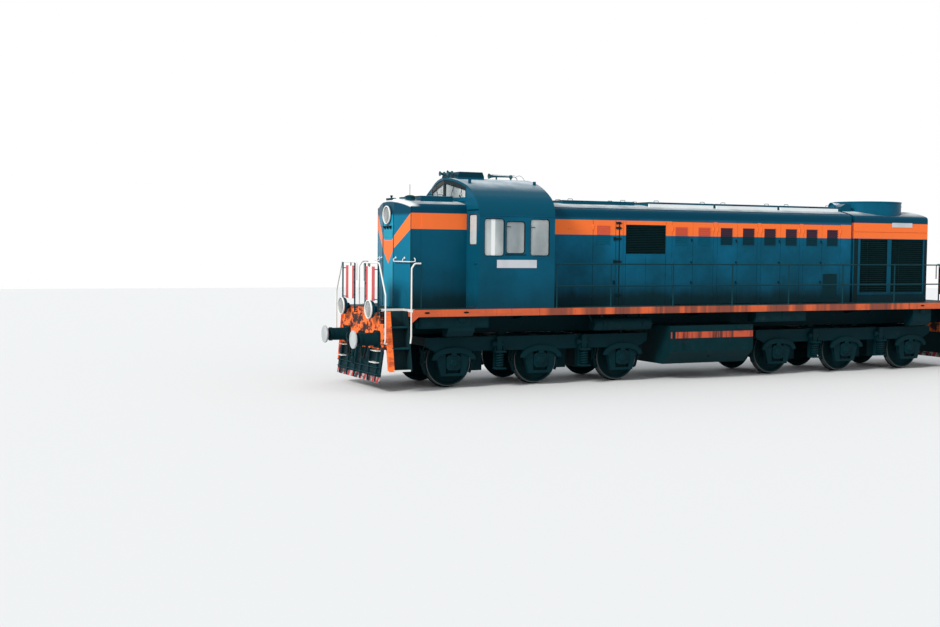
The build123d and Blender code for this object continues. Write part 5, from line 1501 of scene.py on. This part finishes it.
drum, guard, rotor = forms(3)
drum.turned((FAN_X, 0, 3.870), UP, DRUM_PROFILE, 72, closed=True)
for turn in around(12, math.pi / 12):
    drum.bolts([round_fan(0.858, turn, 4.125)], (math.cos(turn), math.sin(turn), 0), 0.010, 0.008)
for k in range(9):
    ring = [round_fan(0.10 + 0.09 * k, turn, 4.234) for turn in (*around(48), 0.0)]
    guard.tube(ring, 0.0055, 0, 6, closed=True)
for turn in around(8):
    guard.tube([round_fan(0.10, turn, 4.226), round_fan(0.835, turn, 4.226)], 0.008)
rotor.turned((FAN_X, 0, 3.999), UP, HUB_PROFILE, 40)
for turn in around(BLADES):
    rotor.rings([blade_ring(turn, k / BLADE_STEPS) for k in range(BLADE_STEPS + 1)])
for piece in (drum.build("round_fan_drum", CAB_PAINT), guard.build("fan_guard", RAILING)):
    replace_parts(piece, "fan_drum")
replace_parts(rotor.build("twisted_fan_rotor", ENGINE, "fan"), "fan_rotor")
print("fan blades:", BLADES)

# %% Hatch edges, exhaust cowl and small roof fittings
HATCHES = ((-6.97, -6.23, 0.60), (-3.40, -1.50, 0.38), (-1.20, 0.60, 0.56), (0.70, 2.50, 0.56),
           (2.60, 4.40, 0.56))
LIFTING_LUG = ((-0.06, 4.068), (-0.06, 4.110), (0.06, 4.110), (0.06, 4.068))
COWL_Y, COWL_Z, COWL_R = -0.14, 4.095, 0.098
COWL_MOUTH = [(-0.01, 0.100), (0.0, 0.110), (0.055, 0.116), (0.060, 0.112), (0.058, 0.096), (0.02, 0.086),
              (0.018, 0.01)]
MUSHROOM = [(0, 0.10), (0.045, 0.10), (0.05, 0.115), (0.060, 0.115), (0.068, 0.10), (0.085, 0.05),
            (0.09, 0.01)]
BEACON = [(0, 0.02), (0.03, 0.02), (0.035, 0.03), (0.05, 0.03), (0.06, 0.02)]
roof_bits, pale_bits, cowl = forms(3)
for _ in mirrored(SIDES, roof_bits, pale_bits):
    for x0, x1, half in HATCHES:
        pale_bits.box(x0 + 0.01, x1 - 0.01, half - 0.035, half + 0.006, 4.062, 4.076)
        for x in (x0 + 0.25, x1 - 0.25):
            roof_bits.tube([(x + a, half - 0.10, z) for a, z in LIFTING_LUG], 0.006, 0.015)
    # A strip along each eave of the engine hood, its pale top a painted highlight.
    pale_bits.box(-4.23, 4.49, 0.80, 0.86, 3.884, 3.900)
for x0, x1, half in HATCHES:
    for x in (x0, x1 - 0.012):
        roof_bits.box(x, x + 0.012, -half, half, 4.060, 4.076)
cowl.tube([(4.84, COWL_Y, 3.86), (4.84, COWL_Y, COWL_Z), (4.60, COWL_Y, COWL_Z)], COWL_R, 0.13, 32)
cowl.turned((4.60, COWL_Y, COWL_Z), (-1, 0, 0), COWL_MOUTH, 36)
cowl.turned((4.66, COWL_Y, COWL_Z), ALONG, [(0, 0.099), (0.002, 0.107), (0.016, 0.107), (0.018, 0.099)], 36)
roof_bits.turned((-7.17, -0.48, 4.00), UP, MUSHROOM, 28)
roof_bits.tube([(-7.10, -0.30, 4.02), (-7.10, -0.30, 4.32)], 0.005)
roof_bits.box(-7.46, -7.36, -0.16, 0.16, 3.985, 4.030)
roof_bits.turned((-7.40, 0.0, 4.03), UP, BEACON, 16)
roof_bits.build("roof_small_fittings", RAILING, bevel=0.001)
pale_bits.build("hatch_edges", PALE_EDGE, bevel=0.002)
cowl.build("exhaust_cowl", PALE_EDGE)
print("hatches:", len(HATCHES))

# %% [markdown]
# ## Under the deck
# Lockers, sand boxes, air reservoirs and pipes hang from the frame. They are welded and riveted plate, so
# what shows is lids, hinges, straps and bolts. The pressure vessels have pressed, domed ends, and their
# bands are bolted.

# %% Lockers, sand boxes and air reservoirs
LOCKERS = ((-7.36, -5.77), (1.22, 2.70))
SAND_LID = [(0, 0.095), (0.008, 0.095), (0.012, 0.080), (0.030, 0.076), (0.036, 0.06)]
DOME = [(0.0, 0.02), (0.004, 0.06), (0.014, 0.10), (0.030, 0.127), (0.055, 0.142), (0.085, 0.1455)]
VESSEL, VESSEL_Y, VESSEL_Z = [*DOME, *((1.50 - a, r) for a, r in reversed(DOME))], 1.225, 1.323
BAND = [(0, 0.146), (0, 0.152), (0.05, 0.152), (0.05, 0.146)]
PULL = ((-0.05, 1.466), (-0.05, 1.495), (0.05, 1.495), (0.05, 1.466))
under = Form()
for _ in mirrored(SIDES, under):
    for (x0, x1), k in product(LOCKERS, range(2)):
        width = (x1 - x0) / 2
        left, right = x0 + k * width + 0.03, x0 + (k + 1) * width - 0.03
        middle = (left + right) / 2
        under.box(left, right, 1.459, 1.468, 1.345, 1.640)
        for x in (left + 0.12, right - 0.12):
            barrel(under, (x - 0.04, 1.470, 1.645), ALONG, 0.080, 0.012, 0.010, 12)
        under.box(middle - 0.045, middle + 0.045, 1.466, 1.476, 1.365, 1.385)
        under.tube([(middle + a, y, 1.43) for a, y in PULL], 0.006, 0.012)
    for x in (-6.4, 6.4):
        under.turned((x, 1.459, 1.50), OUT, SAND_LID, 28)
        under.box(x - 0.11, x + 0.11, 1.485, 1.497, 1.492, 1.508)
        under.bolts([(x + a, 1.46, z) for a, z in product((-0.25, 0.25), (1.30, 1.46, 1.62))],
                    OUT, 0.010, 0.009)
    under.turned((-3.10, VESSEL_Y, VESSEL_Z), ALONG, VESSEL, 36)
    for x in (-2.86, -1.84):
        under.turned((x - 0.025, VESSEL_Y, VESSEL_Z), ALONG, BAND, 36)
        under.box(x - 0.02, x + 0.02, 1.36, 1.40, 1.29, 1.36)
under.build("lockers_and_reservoirs", FRAME, bevel=0.002)
print("lockers:", 2 * len(LOCKERS))

# %% Pipes, tank fittings and the marks in the sill
PIPE_Y, PIPE_Z = 1.40, 1.60
SLEEVE = [(0, 0.019), (0.003, 0.026), (0.04, 0.026), (0.043, 0.019)]
FILLER = [(0, 0.058), (0.010, 0.058), (0.014, 0.046), (0.040, 0.044), (0.046, 0.030)]
DRAIN = [(-0.02, 0.03), (0.012, 0.03), (0.016, 0.02), (0.030, 0.018)]
pipes, tank_bits, sill_marks = forms(3)
for _ in mirrored(SIDES, pipes, tank_bits, sill_marks):
    pipes.tube([(-2.35, VESSEL_Y, 1.180), (-2.35, VESSEL_Y, 1.150), (-2.32, VESSEL_Y, 1.135)], 0.012, 0.01)
    for x0, x1 in ((-5.70, 1.18), (2.75, 6.05)):
        pipes.tube([(x0, PIPE_Y, PIPE_Z), (x1, PIPE_Y, PIPE_Z)], 0.018)
    pipes.tube([(-5.74, 1.33, 1.555), (-3.25, 1.33, 1.555), (-3.15, 1.30, 1.40), (-3.08, VESSEL_Y, 1.33)],
               0.013, 0.06)
    for x in (-5.2, -4.2, -3.5, 3.2, 4.2, 5.2):
        pipes.box(x - 0.015, x + 0.015, 1.375, 1.425, 1.575, 1.670)
        pipes.bolts([(x, 1.425, PIPE_Z)], OUT, 0.008, 0.007)
    for x in (-3.45, -0.6, 0.55, 3.6):
        pipes.turned((x, PIPE_Y, PIPE_Z), ALONG, SLEEVE, 16)
    for x in (-4.9, -2.2, 2.2, 4.9):
        pipes.end_plate(x, 0, 0, [(1.10, 1.668), (1.50, 1.668), (1.50, 1.600), (1.16, 1.45)], 0.012)
    tank_bits.turned((0.72, 1.449, 1.175), OUT, FILLER, 28)
    tank_bits.box(0.68, 0.76, 1.490, 1.497, 1.168, 1.182)
    for x in (-1.06, -0.40, 0.40, 1.06):
        tank_bits.box(x - 0.03, x + 0.03, 1.4485, 1.4545, 0.680, 1.245)
        tank_bits.bolts([(x, 1.4545, z) for z in (0.72, 0.90, 1.15, 1.22)], OUT, 0.009, 0.008)
    tank_bits.tube([(-0.80, 1.462, 0.74), (-0.80, 1.462, 1.12)], 0.009)
    for z in (0.74, 1.12):
        tank_bits.turned((-0.80, 1.448, z), OUT, [(0, 0.018), (0.018, 0.018), (0.020, 0.010)], 14)
    tank_bits.turned((0.0, 1.30, 0.520), (0, 0, -1), DRAIN, 18)
    for x in (-7.22, -6.33, 6.33, 7.22):
        oval = [(0.048 * math.cos(t) + math.copysign(0.012, math.cos(t)), 0.020 * math.sin(t))
                for t in around(20)]
        sill_marks.side_plate(x, 1.5385, 1.640, oval, 0.004)
pipes.build("pipes_under_deck", FRAME)
tank_bits.build("tank_fittings", TANK, bevel=0.001)
sill_marks.build("sill_ovals", SEAL)
print("pipe runs: 3 a side")

# %% Ribs, liners and bolts of the bogies
for end, pivot in PIVOTS.items():
    gear = Form()
    for _ in mirrored(SIDES, gear):
        gear.box(pivot - 2.60, pivot + 2.60, 1.010, 1.030, 1.068, 1.088)
        for x in (pivot + offset for offset in SPRING_OFFSETS):
            gear.side_plate(x, 1.008, 0, [(-0.17, 1.06), (0.17, 1.06), (0.09, 0.78), (-0.09, 0.78)], 0.020)
            for b in (-0.10, 0.10):
                gear.end_plate(x + b - 0.008, 0, 0, [(1.02, 1.05), (1.20, 0.775), (1.02, 0.775)], 0.016)
            gear.bolts([(x + b, 1.028, z) for b, z in product((-0.05, 0.05), (0.88, 0.98))],
                       OUT, 0.013, 0.012)
        for x in (pivot + offset for offset in AXLE_OFFSETS):
            gear.bolts([(x + b, 1.010, z) for b, z in product((-0.20, 0.20), (0.36, 0.46, 0.56, 0.66))],
                       OUT, 0.010, 0.010)
            gear.box(x - 0.27, x + 0.27, 1.012, 1.034, 0.290, 0.322)
            gear.bolts([(x + b, 1.034, 0.306) for b in (-0.24, 0.24)], OUT, 0.012, 0.012)
        gear.bolts([(pivot + a, 1.010, z) for a, z in product((-1.62, -0.48, 0.48, 1.62), (0.93, 1.02))],
                   OUT, 0.010, 0.010)
        gear.tube([(pivot - 2.55, 1.045, 1.045), (pivot + 2.55, 1.045, 1.045)], 0.011)
        for a in (-2.2, -1.5, -0.6, 0.6, 1.5, 2.2):
            gear.box(pivot + a - 0.012, pivot + a + 0.012, 1.008, 1.058, 1.030, 1.060)
    gear.build(f"bogie_ribs_and_bolts_{end}", RUNNING, f"bogie_{end}", bevel=0.001)
print("bogies with ribs:", len(PIVOTS))

# %% [markdown]
# ## Behind the engine-room doors
# When a door stands open, the engine shows: covers over the crankcase, a pump and a pipe for every
# cylinder, and the ribbed generator beyond. The frame has one plain block there, and these covers and pipes
# stand on its faces.

# %% Covers, pumps and pipes of the engine
ENGINE_SIDE, CYLINDERS = 0.60, 6
COVER_BOLTS = ((-0.19, -0.19), (0.0, -0.21), (0.19, -0.19), (0.19, 0.19), (0.0, 0.21), (-0.19, 0.19))
PUMP = [(0, 0.10), (0.04, 0.10), (0.045, 0.075), (0.10, 0.070), (0.11, 0.04)]
machinery = Form()
for _ in mirrored(SIDES, machinery):
    for x in (-1.95 + 0.62 * k for k in range(CYLINDERS)):
        machinery.side_plate(x, ENGINE_SIDE, 2.18, clipped(-0.24, 0.24, -0.24, 0.24, 0.04), 0.022)
        machinery.bolts([(x + a, ENGINE_SIDE + 0.022, 2.18 + b) for a, b in COVER_BOLTS], OUT, 0.013, 0.012)
        machinery.turned((x, ENGINE_SIDE, 2.75), OUT, PUMP, 28)
        machinery.tube([(x, 0.685, 2.82), (x, 0.690, 3.05), (x + 0.06, 0.64, 3.22), (x + 0.06, 0.60, 3.24)],
                       0.012, 0.05)
        machinery.box(x - 0.19, x + 0.19, 0.18, 0.52, 3.455, 3.565)
        machinery.bolts([(x + a, 0.35, 3.565) for a in (-0.15, 0.15)], UP, 0.014, 0.014)
    machinery.tube([(-2.28, 0.66, 2.52), (1.55, 0.66, 2.52), (1.75, 0.66, 2.30), (1.75, 0.66, 1.75)],
                   0.030, 0.12)
    machinery.tube([(-2.28, 0.65, 3.33), (1.62, 0.65, 3.33)], 0.045)
    for x in (2.05, 2.40, 2.75, 3.10, 3.45):
        machinery.box(x, x + 0.05, ENGINE_SIDE, 0.640, 1.80, 3.30)
    for z0, z1 in ((1.75, 1.85), (3.25, 3.33)):
        machinery.box(2.0, 3.55, ENGINE_SIDE, 0.655, z0, z1)
machinery.build("engine_covers_and_pipes", ENGINE, bevel=0.003)
print("cylinders a side:", CYLINDERS)

# %% [markdown]
# ## Driver's seats and desk
# The seats are what the eye meets through the glass. A seat cushion is foam in a cloth cover: it bulges in
# the middle, and its seams hold it down, so a soft body is blown up here from a smaller one. Beside them a
# desk with levers stands.

# %% Seats with padded cushions


def seat_cloth():
    finish = Finish("seat_cloth", "seat_cover")
    weave, worn = finish.noise(900.0, 2.0), finish.noise(7.0, 5.0)
    tone = finish.mix(worn.rise(0.45, 0.7) * 0.5, (0.020, 0.024, 0.032), (0.050, 0.052, 0.058))
    finish.coat(Base_Color=tone, Roughness=0.85, Specular_IOR_Level=0.2,
                Normal=finish.bump(weave + worn * 0.5, 0.0008, 0.6))
    return finish


COVER = seat_cloth()
SEATS = ((-5.15, -0.80), (-4.61, 0.80))
COLUMN = [(0, 0.115), (0.008, 0.115), (0.014, 0.05), (0.10, 0.042), (0.30, 0.042), (0.31, 0.055),
          (0.38, 0.055), (0.385, 0.10), (0.395, 0.10)]
# the gap between foam and room, how far the cover may swell, and the steps of the cloth
SLACK, FARTHEST, STEPS = 0.012, 0.024, 15


def blown(piece, low, high):
    """Foam in its cover: the cloth swells from inside, and no point leaves the room that the cushion has."""
    even_out = piece.modifiers.new("even", "REMESH")
    even_out.mode, even_out.voxel_size = "VOXEL", 0.008
    depsgraph = bpy.context.evaluated_depsgraph_get()
    even = bpy.data.meshes.new_from_object(piece.evaluated_get(depsgraph))
    piece.modifiers.clear()
    even.materials.clear()
    even.materials.append(COVER.material)
    piece.data = even
    start = [v.co.copy() for v in even.vertices]
    cloth = piece.modifiers.new("cover", "CLOTH")
    cloth.settings.quality = 6
    cloth.settings.use_pressure = True
    cloth.settings.uniform_pressure_force = 4.0
    cloth.settings.effector_weights.gravity = 0.0
    cloth.settings.tension_stiffness = cloth.settings.compression_stiffness = 15.0
    scene = bpy.context.scene
    for step in range(1, STEPS + 1):
        scene.frame_set(step)
    moved = bpy.data.meshes.new_from_object(piece.evaluated_get(bpy.context.evaluated_depsgraph_get()))
    piece.modifiers.clear()
    scene.frame_set(1)
    for vertex, origin, swollen in zip(even.vertices, start, moved.vertices):
        way = swollen.co - origin
        vertex.co = origin + way * min(1.0, FARTHEST / max(way.length, 1e-9))
    bpy.data.meshes.remove(moved)
    for vertex in even.vertices:
        vertex.co = Vector(min(max(c, a), b) for c, a, b in zip(vertex.co, low, high))
    even.shade_smooth()
    return piece


def foam(name, low, high):
    """A cushion in the room between two corners."""
    (x0, y0, z0), (x1, y1, z1) = [c + SLACK for c in low], [c - SLACK for c in high]
    rows = []
    for z, inset in ((z0, 0.02), (z0 + 0.02, 0.0), (z1 - 0.02, 0.0), (z1, 0.02)):
        ring = rectangle(x0 + inset, x1 - inset, y0 + inset, y1 - inset)
        rows.append(rounded_loop([(x, y, z) for x, y in ring], 0.035))
    piece = blown(Form().rings(rows).build(name, COVER), low, high)
    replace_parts(piece, "cab_seats")


seat_frames, seams = forms(2)
for number, (x, y) in enumerate(SEATS, 1):
    seat_frames.turned((x, y, DECK_TOP), UP, COLUMN, 28)
    seat_frames.box(x - 0.20, x + 0.20, y - 0.19, y + 0.19, 2.098, 2.112)
    seat_frames.box(x + 0.208, x + 0.222, y - 0.19, y + 0.19, 2.14, 2.72)
    for hand in (-1, 1):
        side = y + hand * 0.205
        seat_frames.tube([(x + 0.20, side, 2.12), (x + 0.215, side, 2.40), (x + 0.215, side, 2.70)],
                         0.012, 0.05)
        seat_frames.tube([(x + 0.20, y + hand * 0.21, 2.36), (x - 0.10, y + hand * 0.21, 2.38)], 0.014)
        line = y + hand * 0.09
        seams.tube([(x - 0.20, line, 2.2075), (x + 0.08, line, 2.2075)], 0.003, 0, 6)
        seams.tube([(x + 0.1255, line, 2.28), (x + 0.1255, line, 2.70)], 0.003, 0, 6)
    foam(f"seat_cushion_{number}", (x - 0.223, y - 0.213, 2.113), (x + 0.200, y + 0.213, 2.207))
    foam(f"seat_back_{number}", (x + 0.127, y - 0.200, 2.225), (x + 0.207, y + 0.200, 2.756))
for piece in (seat_frames.build("seat_frames", CAB_GREY, bevel=0.002), seams.build("seat_seams", COVER)):
    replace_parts(piece, "cab_seats")
print("seats:", len(SEATS))

# %% Controls on the desk
DESK_TILT = (-0.28, 0, 0.96)
DIAL = [(0, 0.050), (0.010, 0.050), (0.012, 0.044), (0.006, 0.042), (0.006, 0.0)]
LEVER = [(0, 0.020), (0.02, 0.018), (0.025, 0.007), (0.14, 0.006)]
LEVER_KNOB = [(-0.012, 0.008), (0.0, 0.020), (0.014, 0.022), (0.028, 0.014), (0.032, 0.004)]
desk = Form()
for y in (0.38, 0.62, 0.86, 1.02):
    desk.turned((-5.12, y, 2.700), DESK_TILT, DIAL, 28)
for y in (0.45, 0.75):
    desk.turned((-5.24, y, 2.665), DESK_TILT, LEVER, 14)
    desk.turned((-5.28, y, 2.795), DESK_TILT, LEVER_KNOB, 16)
for y in (0.34 + 0.12 * k for k in range(6)):
    desk.box(-5.02, -4.99, y, y + 0.04, 2.742, 2.762)
desk.build("desk_controls", RAILING, bevel=0.001)
print("desk controls ready")
